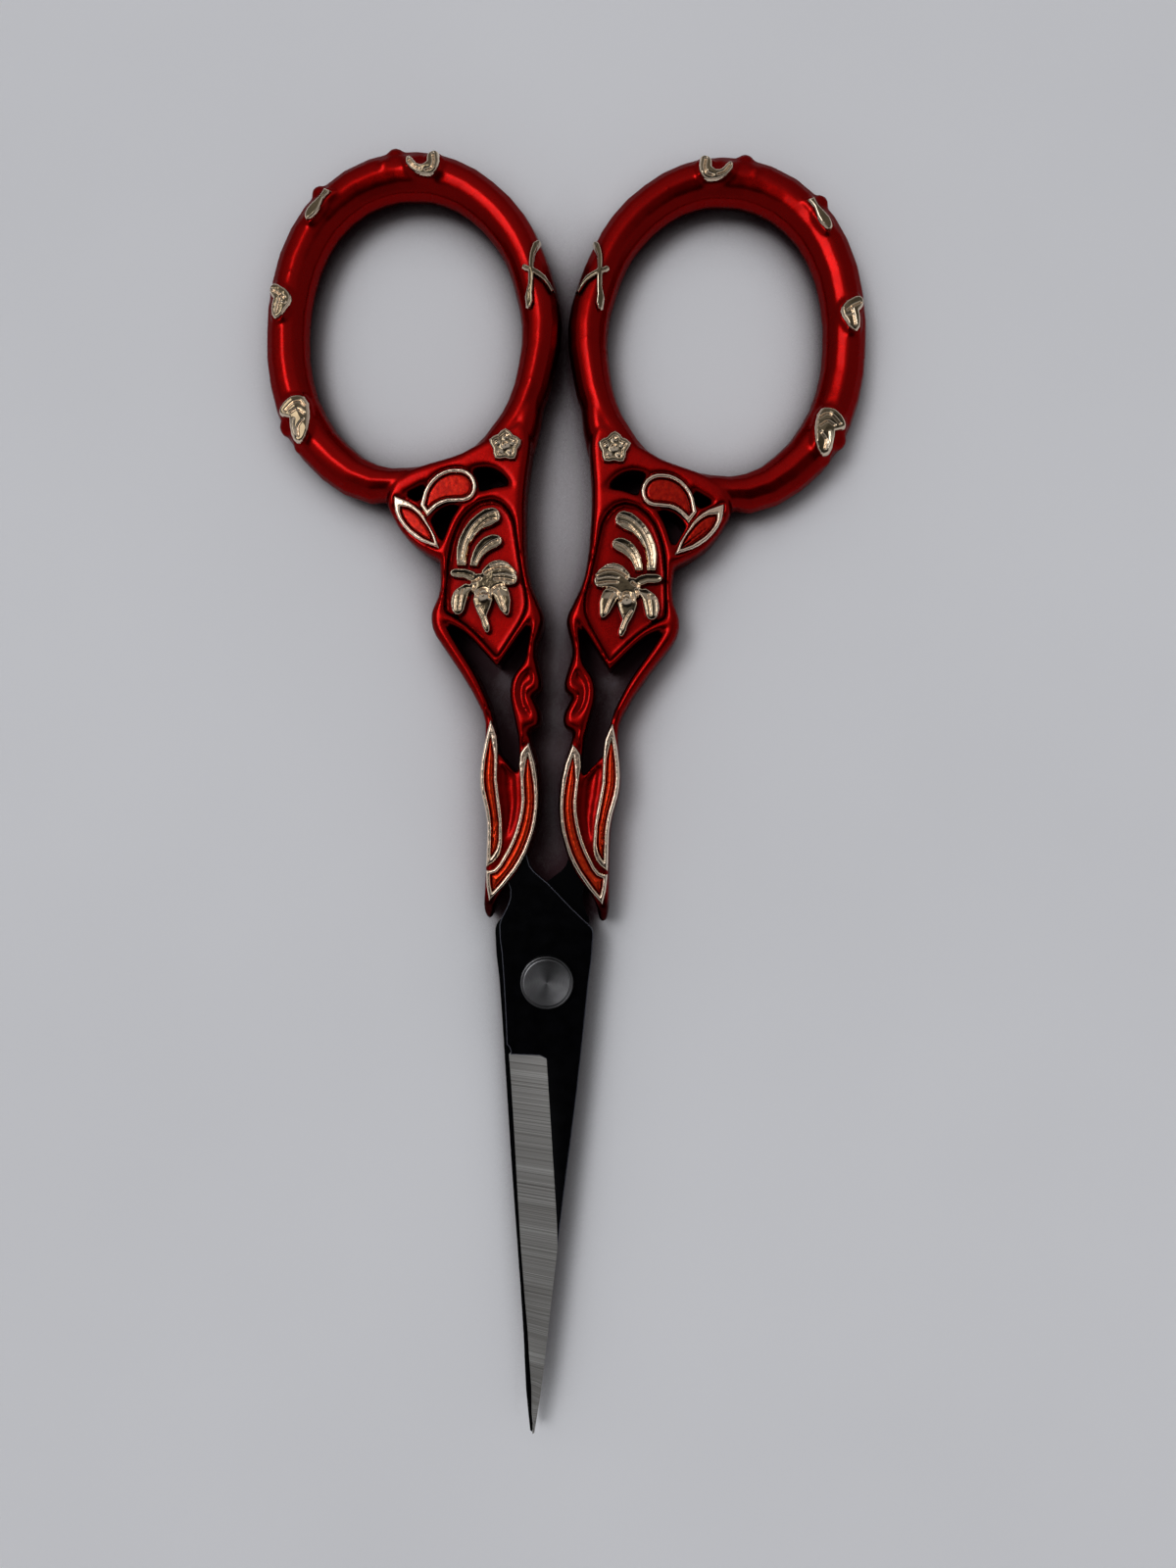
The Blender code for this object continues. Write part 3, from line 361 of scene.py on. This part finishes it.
def red_enamel(name, dark, bright):
    """Thick glossy orange-red enamel, darker along its rims as painted shade."""
    made = shader_material(
        name,
        Metallic=0.9,
        Roughness=0.32,
        Specular_Tint=(0.5, 0.015, 0.008, 1.0),
        Coat_Weight=0.15,
        Coat_IOR=1.3,
        Coat_Roughness=0.04,
    )
    tree = Tree(made)
    base = tree.ramp(tree.noise(3, 4), 0.3, 0.75, dark, bright)
    # Painted shade along the rims, from ambient occlusion.
    rim = tree.ramp(tree.hollows(0.4), 0.4, 0.95, (0.4, 0.1, 0.1), WHITE)
    tree.colour(tree.times(base, rim))
    tree.roughness(tree.ramp(tree.noise(1.6, 3), 0.3, 0.75, 0.24, 0.4))
    tree.bump(tree.noise(2.5, 3), 0.02)
    return made


def gilt(name, flat, lit_slope_colour, smooth, rough):
    """Pale gold over cast relief, painted darker on its flats as painted shade and lighter on its
    slopes as painted highlight.

    The two colours are for the flats and the slopes, and smooth and rough are the limits of its
    roughness.
    """
    made = shader_material(name, Metallic=1.0, Roughness=rough)
    tree = Tree(made)
    slopes = tree.nodes.new("ShaderNodeAttribute")
    slopes.attribute_name = "slope_highlight"
    flat_darker = tuple(0.7 * value for value in flat)
    flats = tree.ramp(tree.noise(1.6, 4), 0.3, 0.75, flat_darker, flat)
    # Lighter on the slopes as painted highlight, darker on the flats as painted shade.
    base = tree.mix(slopes.outputs["Fac"], flats, lit_slope_colour)
    # Painted shade in the relief's hollows, from ambient occlusion.
    hollow_shade = tree.ramp(tree.hollows(0.2), 0.25, 0.8, (0.3, 0.17, 0.1), WHITE)
    tree.colour(tree.times(base, hollow_shade))
    tree.roughness(tree.ramp(tree.noise(2.4, 4), 0.3, 0.75, smooth, rough))
    tree.bump(tree.noise(1.8, 2), 0.03)
    return made


def black_coating():
    """Gloss black coating, with a painted bluish-grey highlight along its edges."""
    made = shader_material("gloss black coating", Roughness=0.14, Specular_IOR_Level=0.09)
    tree = Tree(made)
    base = tree.ramp(tree.noise(0.8, 4), 0.35, 0.7, (0.0008, 0.0008, 0.001), (0.002, 0.002, 0.0026))
    # Painted highlight: a bluish grey along the edges.
    tree.colour(tree.mix(tree.highlit_edges(0.14), base, (0.15, 0.155, 0.185)))
    tree.roughness(tree.ramp(tree.noise(1.2, 5), 0.3, 0.75, 0.1, 0.2))
    tree.bump(tree.noise(5, 2), 0.003, soft_edge=0.1)
    return made


def ground_steel():
    """The bevel's bare ground face: fine lines straight across the blade."""
    made = shader_material("ground steel", Metallic=1.0, Roughness=0.4)
    tree = Tree(made)
    tree.colour(tree.brushed())
    tree.roughness(tree.ramp(tree.lines(6, 3, 0.8), 0.3, 0.7, 0.34, 0.48))
    return made


def inner_steel(blade):
    """A blade's inner face: ground bare, but coated along the spine and at the pivot."""
    made = shader_material(f"inner steel of the {blade.place} blade", Specular_IOR_Level=0.09)
    tree = Tree(made)
    away = tree.nodes.new("ShaderNodeVectorMath")
    away.operation = "DOT_PRODUCT"
    away.inputs[1].default_value = (blade.edge_side, SPINE_LEAN, 0)
    tree.join(tree.millimetres, away.inputs[0])
    strip_end = COATED_STRIP - blade.spine_offset
    off_strip = tree.ramp(away.outputs["Value"], strip_end, strip_end + SOFT_LIMIT, 0.0, 1.0)
    in_front = tree.ramp(tree.along(), BARE_FROM - SOFT_LIMIT, BARE_FROM + SOFT_LIMIT, 1.0, 0.0)
    bare = calculated(tree, "MULTIPLY", off_strip, in_front)
    tree.colour(tree.mix(bare, (0.0015, 0.0015, 0.0018), tree.brushed()))
    tree.join(bare, tree.shader.inputs["Metallic"])
    tree.roughness(tree.ramp(bare, 0.0, 1.0, 0.16, 0.4))
    return made


def turned_steel():
    """The rivet's head: turned steel with fine rings, and a painted sheen in two sectors."""
    made = shader_material("turned steel", Metallic=1.0, Roughness=0.36)
    tree = Tree(made)
    rings = tree.nodes.new("ShaderNodeTexWave")
    rings.wave_type = "RINGS"
    rings.rings_direction = "Z"
    rings.inputs["Scale"].default_value = 2.6
    rings.inputs["Distortion"].default_value = 1.6
    rings.inputs["Detail"].default_value = 3
    tree.join(tree.millimetres, rings.inputs["Vector"])
    sectors = tree.nodes.new("ShaderNodeTexGradient")
    sectors.gradient_type = "RADIAL"
    tree.join(tree.millimetres, sectors.inputs["Vector"])
    # Painted sheen: lighter and darker sectors round the centre, standing in for the turned face's
    # reflection.
    painted_sheen = tree.nodes.new("ShaderNodeValToRGB")
    painted_sheen.color_ramp.interpolation = "EASE"
    stops = ((0.0, 0.85), (0.23, 0.36), (0.45, 1.0), (0.72, 0.28), (0.94, 0.85))
    while len(painted_sheen.color_ramp.elements) < len(stops):
        painted_sheen.color_ramp.elements.new(0.5)
    for element, (place, value) in zip(painted_sheen.color_ramp.elements, stops):
        element.position = place
        element.color = (value, value, value, 1)
    tree.join(sectors.outputs["Fac"], painted_sheen.inputs["Fac"])
    turned = tree.ramp(rings.outputs["Fac"], 0.0, 1.0, (0.17, 0.168, 0.17), (0.25, 0.248, 0.25))
    cloudy = tree.ramp(tree.noise(1.1, 5), 0.3, 0.7, (0.75, 0.74, 0.74), WHITE)
    tree.colour(tree.times(tree.times(turned, cloudy), painted_sheen.outputs["Color"]))
    tree.bump(rings.outputs["Fac"], 0.002)
    return made


def geometry_group(name):
    """A geometry node group with only its input and output nodes."""
    group = bpy.data.node_groups.new(name, "GeometryNodeTree")
    for way in ("INPUT", "OUTPUT"):
        group.interface.new_socket("Geometry", in_out=way, socket_type="NodeSocketGeometry")
    return group, group.nodes.new("NodeGroupInput"), group.nodes.new("NodeGroupOutput")


def smooth_modifier():
    """Node group that welds a faceted solid and shades it smooth up to an angle."""
    group, start, end = geometry_group("smooth solid")
    new = group.nodes.new
    weld = new("GeometryNodeMergeByDistance")
    weld.inputs["Distance"].default_value = WELD * MM
    faces = new("GeometryNodeSetShadeSmooth")
    angle = new("GeometryNodeInputMeshEdgeAngle")
    compare = new("FunctionNodeCompare")
    compare.inputs["B"].default_value = SHARP_ANGLE
    edges = new("GeometryNodeSetShadeSmooth")
    edges.domain = "EDGE"
    edges.inputs["Shade Smooth"].default_value = False
    for source, target in (
        (start.outputs[0], weld.inputs["Geometry"]),
        (weld.outputs["Geometry"], faces.inputs["Geometry"]),
        (faces.outputs["Geometry"], edges.inputs["Geometry"]),
        (angle.outputs["Unsigned Angle"], compare.inputs["A"]),
        (compare.outputs["Result"], edges.inputs["Selection"]),
        (edges.outputs["Geometry"], end.inputs[0]),
    ):
        group.links.new(source, target)
    return group


def finish_node(obj, group, *looks):
    """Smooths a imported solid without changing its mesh, and gives it its finish."""
    mesh = obj.data
    if "custom_normal" in mesh.attributes:
        mesh.attributes.remove(mesh.attributes["custom_normal"])
    obj.modifiers.new("smooth", "NODES").node_group = group
    weighted = obj.modifiers.new("weighted", "WEIGHTED_NORMAL")
    weighted.keep_sharp = True
    mesh.materials.clear()
    for look in looks:
        mesh.materials.append(look)


def bare_faces(obj, blade):
    """Marks the ground bevel and the inner face of a blade as bare steel.

    A face's tilt is 1 where it looks straight out of the blade's outer side, 0
    where it stands upright and -1 on the inner side.
    """
    coated, ground, inner = 0, 1, 2
    for face in obj.data.polygons:
        tilt = blade.up * face.normal.z
        to_edge = blade.edge_side * face.normal.x
        along = face.center.y / MM
        on_bevel = 0.3 < tilt < 0.985 and to_edge > 0.1 and along < BEVEL_FROM
        at_tip = tilt > 0.2 and along < GROUND_TIP_FROM
        if on_bevel or at_tip:
            face.material_index = ground
        else:
            face.material_index = inner if tilt < -0.99 else coated


def tip_modifier(blade):
    """Node group that evens a blade's thickness near its tip and closes the tips up."""
    group, start, end = geometry_group(f"{blade.place} tip")
    new, link = group.nodes.new, group.links.new

    def ranged(source, first, last, low, high):
        span, onto = (first * MM, last * MM), (low * MM, high * MM)
        return map_range(group, source, span, onto).outputs["Result"]

    split, merged = new("ShaderNodeSeparateXYZ"), new("ShaderNodeCombineXYZ")
    link(new("GeometryNodeInputPosition").outputs["Position"], split.inputs["Vector"])
    along = split.outputs["Y"]
    thin = blade.inner_z + blade.up * THICK_AT_TIP
    thick = blade.inner_z + blade.up * THICK_AT_START
    outer = ranged(along, BEYOND_TIP, EVEN_FROM, thin, thick)
    behind = ranged(along, EVEN_FROM - 0.01, EVEN_FROM, 0.0, blade.up * UNLIMITED)
    outer = calculated(group, "ADD", outer, behind)
    nearer = "MINIMUM" if blade.up > 0 else "MAXIMUM"
    height = calculated(group, nearer, split.outputs["Z"], outer)
    shift = ranged(along, BEYOND_TIP, CLOSE_FROM, blade.tip_shift, 0.0)
    link(calculated(group, "ADD", split.outputs["X"], shift), merged.inputs["X"])
    link(along, merged.inputs["Y"])
    link(height, merged.inputs["Z"])
    moved = new("GeometryNodeSetPosition")
    link(start.outputs[0], moved.inputs["Geometry"])
    link(merged.outputs["Vector"], moved.inputs["Position"])
    link(moved.outputs["Geometry"], end.inputs[0])
    return group


def cast_smooth(obj):
    """Rounds a cast handle's edges and blends its joints, as lacquer does."""
    fine = obj.modifiers.new("cast skin", "REMESH")
    fine.mode = "VOXEL"
    fine.voxel_size = SKIN_CELL * MM
    fine.use_smooth_shade = True
    soft = obj.modifiers.new("lacquer flow", "SMOOTH")
    soft.factor = RELAX_FACTOR
    soft.iterations = RELAX_ROUNDS


LOOKS = {
    "red_lacquer": red_lacquer(),
    "red_enamel": red_enamel("red enamel", (0.2, 0.0025, 0.0015), (0.32, 0.01, 0.003)),
    # Gilt: its dark flat colour is painted shade, its light slope colour painted highlight.
    "gilt": gilt("gilt", (0.14, 0.105, 0.062), (0.78, 0.64, 0.48), 0.04, 0.1),
    "black_coating": black_coating(),
    "bare_steel": turned_steel(),
}
steel_bevel = ground_steel()
inner_faces = {node: inner_steel(blade) for node, blade in BLADES.items()}
# A lighter copy of the gilt for the leaf rims, so that they read as lit: painted highlight.
lit_rim_gilt = gilt("gilt painted lighter for rims", (0.62, 0.45, 0.33), (0.9, 0.76, 0.6), 0.12, 0.22)
leaf_enamel = red_enamel("orange enamel", (0.42, 0.014, 0.0035), (0.66, 0.05, 0.009))
smoothing = smooth_modifier()
for part in frame["record"]["subparts"]:
    node = part["node"]
    obj = nodes[node]
    look = LOOKS[part["material_slot"]]
    if node in BLADES:
        finish_node(obj, smoothing, look, steel_bevel, inner_faces[node])
        bare_faces(obj, BLADES[node])
        obj.modifiers.new("tip", "NODES").node_group = tip_modifier(BLADES[node])
    else:
        finish_node(obj, smoothing, look)
    if node.endswith("_handle"):
        cast_smooth(obj)


def welded(node):
    """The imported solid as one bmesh, its split vertices joined."""
    built = bmesh.new()
    built.from_mesh(nodes[node].data)
    bmesh.ops.remove_doubles(built, verts=built.verts, dist=WELD * MM)
    built.normal_update()
    return built


def foot_lines(built):
    """The outline on which a relief stands, as segments in millimetres.

    It is where the underside, which looks down, meets a wall, which doesn't.
    """
    underside, wall = -0.3, -0.25
    lines = []
    for edge in built.edges:
        tilts = sorted(face.normal.z for face in edge.link_faces)
        if len(tilts) == 2 and tilts[0] < underside and tilts[1] > wall:
            lines.append([tuple(vert.co / MM) for vert in edge.verts])
    return np.array(lines)


def nearest(points, lines):
    """The nearest spot on the lines to each point, and how far it is."""
    points_at_once = 3000
    spots, gaps = [], []
    start = lines[:, 0]
    along = lines[:, 1] - start
    length = np.maximum((along[:, :2] ** 2).sum(1), 1e-12)
    for some in np.array_split(points, max(1, len(points) // points_at_once)):
        share = ((some[:, None] - start[:, :2]) * along[:, :2]).sum(2) / length
        here = start + np.clip(share, 0, 1)[..., None] * along
        away = np.linalg.norm(some[:, None] - here[..., :2], axis=2)
        best = away.argmin(axis=1)
        rows = np.arange(len(some))
        spots.append(here[rows, best])
        gaps.append(away[rows, best])
    return np.concatenate(spots), np.concatenate(gaps)


def inside(points, lines):
    """True for the points that the closed outline goes round."""
    x, y = points[:, 0, None], points[:, 1, None]
    (x1, y1), (x2, y2) = lines[:, 0, :2].T, lines[:, 1, :2].T
    rise = np.where(y1 == y2, 1.0, y2 - y1)
    crossed = ((y1 > y) != (y2 > y)) & (x < x1 + (y - y1) * (x2 - x1) / rise)
    return crossed.sum(axis=1) % 2 == 1


def segments(path):
    """An open smooth curve (Catmull-Rom) through a few points, as segments."""
    pieces_each = 6
    points = np.array(path, float)
    ends = np.vstack([2 * points[0] - points[1], points, 2 * points[-1] - points[-2]])
    curve = []
    for one, two, three, four in zip(ends, ends[1:], ends[2:], ends[3:]):
        for share in np.linspace(0, 1, pieces_each, endpoint=False):
            curve.append(
                0.5
                * (
                    2 * two
                    + (three - one) * share
                    + (2 * one - 5 * two + 4 * three - four) * share**2
                    + (3 * two - one - 3 * three + four) * share**3
                )
            )
    curve.append(points[-1])
    curve = np.array(curve)
    return np.stack([curve[:-1], curve[1:]], axis=1)


def mirrored(path, side):
    """(out, along) points as X and Y on one side of the middle line."""
    return [(MIDDLE_X + side * out, along) for out, along in path]


def relief_grid(lines, cell, grow):
    """A grid of square cells over an outline that is grown by a width.

    Gives which corners of the whole grid are used; the points of those corners,
    with the outer ones moved onto the grown outline; the nearest spot on the
    outline to each; its distance from the grown outline; and the cells as faces.
    """
    low = lines[..., :2].min((0, 1)) - 0.5 * cell - grow
    high = lines[..., :2].max((0, 1)) + 1.5 * cell + grow
    xs, ys = (np.arange(low[k], high[k], cell) for k in (0, 1))
    grid = np.stack(np.meshgrid(xs, ys), axis=-1)
    centres = ((grid[:-1, :-1] + grid[1:, 1:]) / 2).reshape(-1, 2)
    kept = inside(centres, lines)
    if grow:
        kept |= nearest(centres, lines)[1] < grow
    kept = kept.reshape(grid.shape[0] - 1, grid.shape[1] - 1)
    around = np.pad(kept, 1)
    corners = (around[:-1, :-1], around[:-1, 1:], around[1:, :-1], around[1:, 1:])
    used = np.logical_or.reduce(corners)
    border = (used & ~np.logical_and.reduce(corners))[used]
    points = grid[used]
    spots, gaps = nearest(points, lines)
    outward = (points - spots[:, :2]) / np.maximum(gaps, 1e-9)[:, None]
    within = inside(points, lines)
    outward[within] *= -1
    points = np.where(border[:, None], spots[:, :2] + grow * outward, points)
    gaps = np.where(border, 0.0, np.maximum(np.where(within, gaps, -gaps) + grow, 0.0))
    number = np.full(used.shape, -1)
    number[used] = np.arange(used.sum())
    faces = np.stack([number[:-1, :-1], number[:-1, 1:], number[1:, 1:], number[1:, :-1]], -1)
    return used, points, spots, gaps, faces[kept]


def relief_tops(solid, points, feet, level):
    """The solid's own height over each point at level 0, and its peak's at level 1."""
    peak = max(vert.co.z for vert in solid.verts) / MM
    tops = np.full(len(points), peak)
    if level < 1:
        skin = BVHTree.FromBMesh(solid)
        for k, (x, y) in enumerate(points):
            hit = skin.ray_cast(Vector((x, y, 2 * peak)) * MM, Vector((0, 0, -1)))[0]
            own = hit.z / MM if hit else feet[k]
            tops[k] = own + level * (peak - own)
    return tops


def relief_mesh(name, points, heights, faces, slope_highlight):
    """The relief's top with a low wall down from its border and a flat bottom."""
    mesh = bpy.data.meshes.new(name)
    verts = np.column_stack([points, heights]) * MM
    mesh.from_pydata(verts.tolist(), [], faces.tolist())
    mesh.attributes.new("slope_highlight", "FLOAT", "POINT").data.foreach_set("value", slope_highlight)
    built = bmesh.new()
    built.from_mesh(mesh)
    rim = [line for line in built.edges if line.is_boundary]
    grown = bmesh.ops.extrude_edge_only(built, edges=rim)["geom"]
    for vert in grown:
        if isinstance(vert, bmesh.types.BMVert):
            vert.co.z -= FOOT * MM
    bottom = [line for line in grown if isinstance(line, bmesh.types.BMEdge) and line.is_boundary]
    bmesh.ops.holes_fill(built, edges=bottom, sides=0)
    bmesh.ops.recalc_face_normals(built, faces=built.faces)
    for face in built.faces:
        face.smooth = True
    built.to_mesh(mesh)
    built.free()
    return mesh


def carve(node, slot, cell, round_off, level=1.0, extra=None, look=None, grow=0.0):
    """A finely meshed relief in place of a packed one, with its carving.

    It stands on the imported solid's outline, grown by the width grow. Its top is
    the solid's own at level 0 and a flat one at level 1, and its edges are rounded
    off over the width round_off. extra adds to its height, from its points and
    their distances to the edge, and look takes the place of the slot's finish.
    """
    side_name, short = node.split("_", 1)
    solid = welded(node)
    used, points, spots, gaps, faces = relief_grid(foot_lines(solid), cell, grow)
    feet = spots[:, 2]
    tops = relief_tops(solid, points, feet, level)
    solid.free()
    change = np.zeros(len(points))
    for height, half, path in CARVING.get(short, []):
        away = nearest(points, segments(mirrored(path, SIDES[side_name])))[1]
        change += mound(away, height, half)
    if extra:
        change += extra(points, gaps)
    change *= np.minimum(gaps / FADE_IN, 1)
    rounding = np.sqrt(1 - (1 - np.minimum(gaps / round_off, 1)) ** 2)
    heights = np.maximum(feet + (tops - feet) * rounding + change, feet)
    relief = np.zeros(used.shape)
    relief[used] = heights - tops
    # The slope decides the gilt's painted highlight where steep and its painted shade where flat.
    slope = np.hypot(*np.gradient(relief, cell))[used]
    slope_highlight = np.clip((slope - SHADED_SLOPE) / (LIT_SLOPE - SHADED_SLOPE), 0, 1)
    mesh = relief_mesh(short, points, heights, faces, slope_highlight)
    mesh.materials.append(look or LOOKS[slot])
    piece = bpy.data.objects.new(node + "_carved", mesh)
    bpy.context.scene.collection.objects.link(piece)
    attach(piece, "lower_half" if side_name == "right" else "upper_half")
    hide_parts(node)


def eased(values, first, width):
    """0 below first, 1 past first + width, and a smooth step between."""
    share = np.clip((values - first) / width, 0, 1)
    return share * share * (3 - 2 * share)


def mound(distances, height, radius):
    """A round mound of a height, which falls to a third of it at the radius."""
    return height * np.exp(-((distances / radius) ** 2))


def rose_relief(points, gaps):
    """The rosette's recess within its rim, its boss and a bead in each lobe."""
    lobes, bead_circle = 5, 0.72
    away = points - points.mean(axis=0)
    height = -0.26 * eased(gaps, 0.34, 0.16)
    height += mound(np.linalg.norm(away, axis=1), 0.3, 0.27)
    for k in range(lobes):
        angle = math.tau * k / lobes
        spot = bead_circle * np.array([-math.sin(angle), math.cos(angle)])
        height += mound(np.linalg.norm(away - spot, axis=1), 0.16, 0.17)
    return height


def dished(points, gaps):
    """A petal hollowed a little within its raised edge."""
    return -0.07 * eased(gaps, 0.12, 0.36)


def lily_swell(points, gaps):
    """The lily's upper petals are dished, its lower ones full and round."""
    petals_meet, blend = 34.7, 0.6
    lower = np.clip((petals_meet - points[:, 1]) / blend, 0, 1)
    full = 0.1 * (1 - (1 - np.clip(gaps / 0.5, 0, 1)) ** 2)
    return (1 - lower) * dished(points, gaps) + lower * full


def leaf_crown(points, gaps):
    """Enamel drawn up into a soft ridge along the middle of its cell."""
    return 0.12 * np.clip(gaps / 0.5, 0, 1) ** 1.5


def wire(name, path, side_name, radius, slot):
    """A fine raised line: a round wire through (x, y, z) points in millimetres."""
    curve = bpy.data.curves.new(name, "CURVE")
    curve.dimensions = "3D"
    curve.bevel_depth = radius * MM
    curve.bevel_resolution = 3
    curve.use_fill_caps = True
    spline = curve.splines.new("BEZIER")
    spline.bezier_points.add(len(path) - 1)
    for knot, point in zip(spline.bezier_points, path):
        knot.co = Vector(point) * MM
        knot.handle_left_type = knot.handle_right_type = "AUTO"
    spline.resolution_u = 4
    curve.materials.append(LOOKS[slot])
    piece = bpy.data.objects.new(name, curve)
    bpy.context.scene.collection.objects.link(piece)
    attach(piece, "lower_half" if side_name == "right" else "upper_half")


def rivet():
    """The rivet turned from one profile: a flat ringed head, shank and back end."""
    low, high = (corner[2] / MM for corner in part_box("pivot_rivet"))
    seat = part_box("left_blade")[1][2] / MM
    back = [
        (0, low),
        (BACK_RADIUS - 0.1, low),
        (BACK_RADIUS, low + 0.1),
        (BACK_RADIUS, low + 0.62),
        (SHANK_RADIUS, low + 0.7),
        (SHANK_RADIUS, seat),
    ]
    head = [
        (HEAD_RADIUS - 0.11, seat + 0.02),
        (HEAD_RADIUS, seat + 0.12),
        (HEAD_RADIUS, high - 0.26),
        (HEAD_RADIUS - 0.04, high - 0.16),
    ]
    rings = [
        (HEAD_RADIUS - 0.12, high - 0.13),
        (HEAD_RADIUS - 0.18, high - 0.16),
        (HEAD_RADIUS - 0.23, high - 0.06),
        (HEAD_RADIUS - 0.31, high - 0.02),
        (HEAD_RADIUS - 0.39, high - 0.03),
        (0, high),
    ]
    profile = back + head + rings
    built = bmesh.new()
    verts = [built.verts.new((out * MM, 0, up * MM)) for out, up in profile]
    lines = [built.edges.new(pair) for pair in zip(verts, verts[1:])]
    bmesh.ops.spin(
        built,
        geom=verts + lines,
        cent=(0, 0, 0),
        axis=(0, 0, 1),
        angle=math.tau,
        steps=TURNED_STEPS,
        use_merge=True,
    )
    bmesh.ops.remove_doubles(built, verts=built.verts, dist=WELD * MM)
    bmesh.ops.recalc_face_normals(built, faces=built.faces)
    mesh = bpy.data.meshes.new("rivet")
    for face in built.faces:
        face.smooth = True
    built.to_mesh(mesh)
    built.free()
    mesh.set_sharp_from_angle(angle=SHARP_ANGLE)
    mesh.materials.append(LOOKS["bare_steel"])
    piece = bpy.data.objects.new("turned_rivet", mesh)
    bpy.context.scene.collection.objects.link(piece)
    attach(piece, "lower_half")
    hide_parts("pivot_rivet")


# How each relief and fill is carved, in the order in which they are added.
GILT_BADGE = {"slot": "gilt", "cell": 0.05, "round_off": 0.24, "level": 0.55}
GILT_RIM = {"slot": "gilt", "cell": 0.045, "round_off": 0.2, "look": lit_rim_gilt, "grow": 0.06}
ENAMEL = {"slot": "red_enamel", "cell": 0.08, "round_off": 0.3}
LEAF_ENAMEL = {**ENAMEL, "extra": leaf_crown, "look": leaf_enamel}
CARVED = {
    "long_petal": {"slot": "gilt", "cell": 0.05, "round_off": 0.17, "extra": dished},
    "short_petal": {"slot": "gilt", "cell": 0.05, "round_off": 0.17, "extra": dished},
    "lily": {"slot": "gilt", "cell": 0.05, "round_off": 0.17, "extra": lily_swell},
    "rosette": {"slot": "gilt", "cell": 0.05, "round_off": 0.22, "extra": rose_relief},
    "sprig": GILT_BADGE,
    "seed_leaf": GILT_BADGE,
    "heart": GILT_BADGE,
    "kidney_bud": GILT_BADGE,
    "crossed_stems": {"slot": "gilt", "cell": 0.045, "round_off": 0.16, "level": 0},
    "almond_rim": GILT_RIM,
    "curl_rim": GILT_RIM,
    "outer_leaf_rim": GILT_RIM,
    "inner_leaf_rim": GILT_RIM,
    "almond_enamel": ENAMEL,
    "curl_enamel": ENAMEL,
    "outer_leaf_enamel": LEAF_ENAMEL,
    "inner_leaf_enamel": LEAF_ENAMEL,
}
for side_name, side in SIDES.items():
    for short, how in CARVED.items():
        carve(f"{side_name}_{short}", **how)
    for k, line in enumerate(BUD_LINES):
        name = f"{side_name}_bud_line_{k + 1}"
        path = [(*point, BUD_LINE_Z) for point in mirrored(line, side)]
        wire(name, path, side_name, BUD_LINE_RADIUS, "red_lacquer")
rivet()


def floor():
    """A plain pale floor, dark and a little red where the handles shut light out."""
    made = shader_material("pale floor", Roughness=0.7, Specular_IOR_Level=0.2)
    tree = Tree(made)
    cloth = tree.ramp(tree.noise(0.02, 3), 0.3, 0.7, (0.9, 0.9, 0.91), (0.94, 0.94, 0.95))
    # Painted shadow, dark and a little red, around and between the handles.
    shade = tree.ramp(tree.hollows(7), 0.36, 0.8, (0.04, 0.01, 0.014), WHITE)
    tree.colour(tree.times(cloth, shade))
    bpy.ops.mesh.primitive_plane_add(size=FLOOR_SIZE * MM, location=(0, 0, -FLOOR_DROP * MM))
    plane = bpy.context.object
    plane.name = "floor"
    plane.data.materials.append(made)


def studio():
    """A soft room round the object, all of it in the world's shader.

    There is a window, a wide soft light above it, and a dark patch on the other
    side. Each is round, and its direction is given as tilts from straight up in
    degrees, towards +X and towards +Y.
    """
    world = bpy.data.worlds.new("studio")
    bpy.context.scene.world = world
    world.use_nodes = True
    tree = world.node_tree
    nodes, links = tree.nodes, tree.links
    back = nodes["Background"]
    direction = nodes.new("ShaderNodeTexCoord")

    def patch(tilt_x, tilt_y, inner, outer, middle, rest):
        """Middle within the inner angle of a direction, the rest beyond the outer."""
        angle, turn = math.radians(math.hypot(tilt_x, tilt_y)), math.atan2(tilt_y, tilt_x)
        aim = nodes.new("ShaderNodeVectorMath")
        aim.operation = "DOT_PRODUCT"
        aim.inputs[1].default_value = (
            math.sin(angle) * math.cos(turn),
            math.sin(angle) * math.sin(turn),
            math.cos(angle),
        )
        links.new(direction.outputs["Generated"], aim.inputs[0])
        span = (math.cos(math.radians(outer)), math.cos(math.radians(inner)))
        fade = map_range(tree, aim.outputs["Value"], span, (rest, middle))
        fade.interpolation_type = "SMOOTHSTEP"
        return fade.outputs["Result"]

    window = patch(-22, 11, inner=7, outer=16, middle=5.6, rest=0)
    softbox = patch(-8, 32, inner=8, outer=38, middle=0.33, rest=0)
    room = patch(8, -26, inner=20, outer=42, middle=0.03, rest=0.36)
    lights = calculated(tree, "ADD", calculated(tree, "ADD", window, softbox), room)
    links.new(lights, back.inputs["Strength"])
    back.inputs["Color"].default_value = (0.95, 0.96, 1, 1)


def camera():
    """The photograph's camera, without depth of field."""
    data = bpy.data.cameras.new("camera")
    data.sensor_width = SENSOR
    data.lens = SENSOR * FOCAL_PIXELS / LONG_SIDE_PIXELS
    data.clip_start = 0.005
    eye = bpy.data.objects.new("camera", data)
    bpy.context.scene.collection.objects.link(eye)
    eye.location = Vector(CAMERA_AT) * MM
    eye.rotation_euler = [math.radians(turn) for turn in CAMERA_TURN]
    bpy.context.scene.camera = eye


floor()
studio()
camera()
bpy.context.scene.view_settings.view_transform = "Standard"
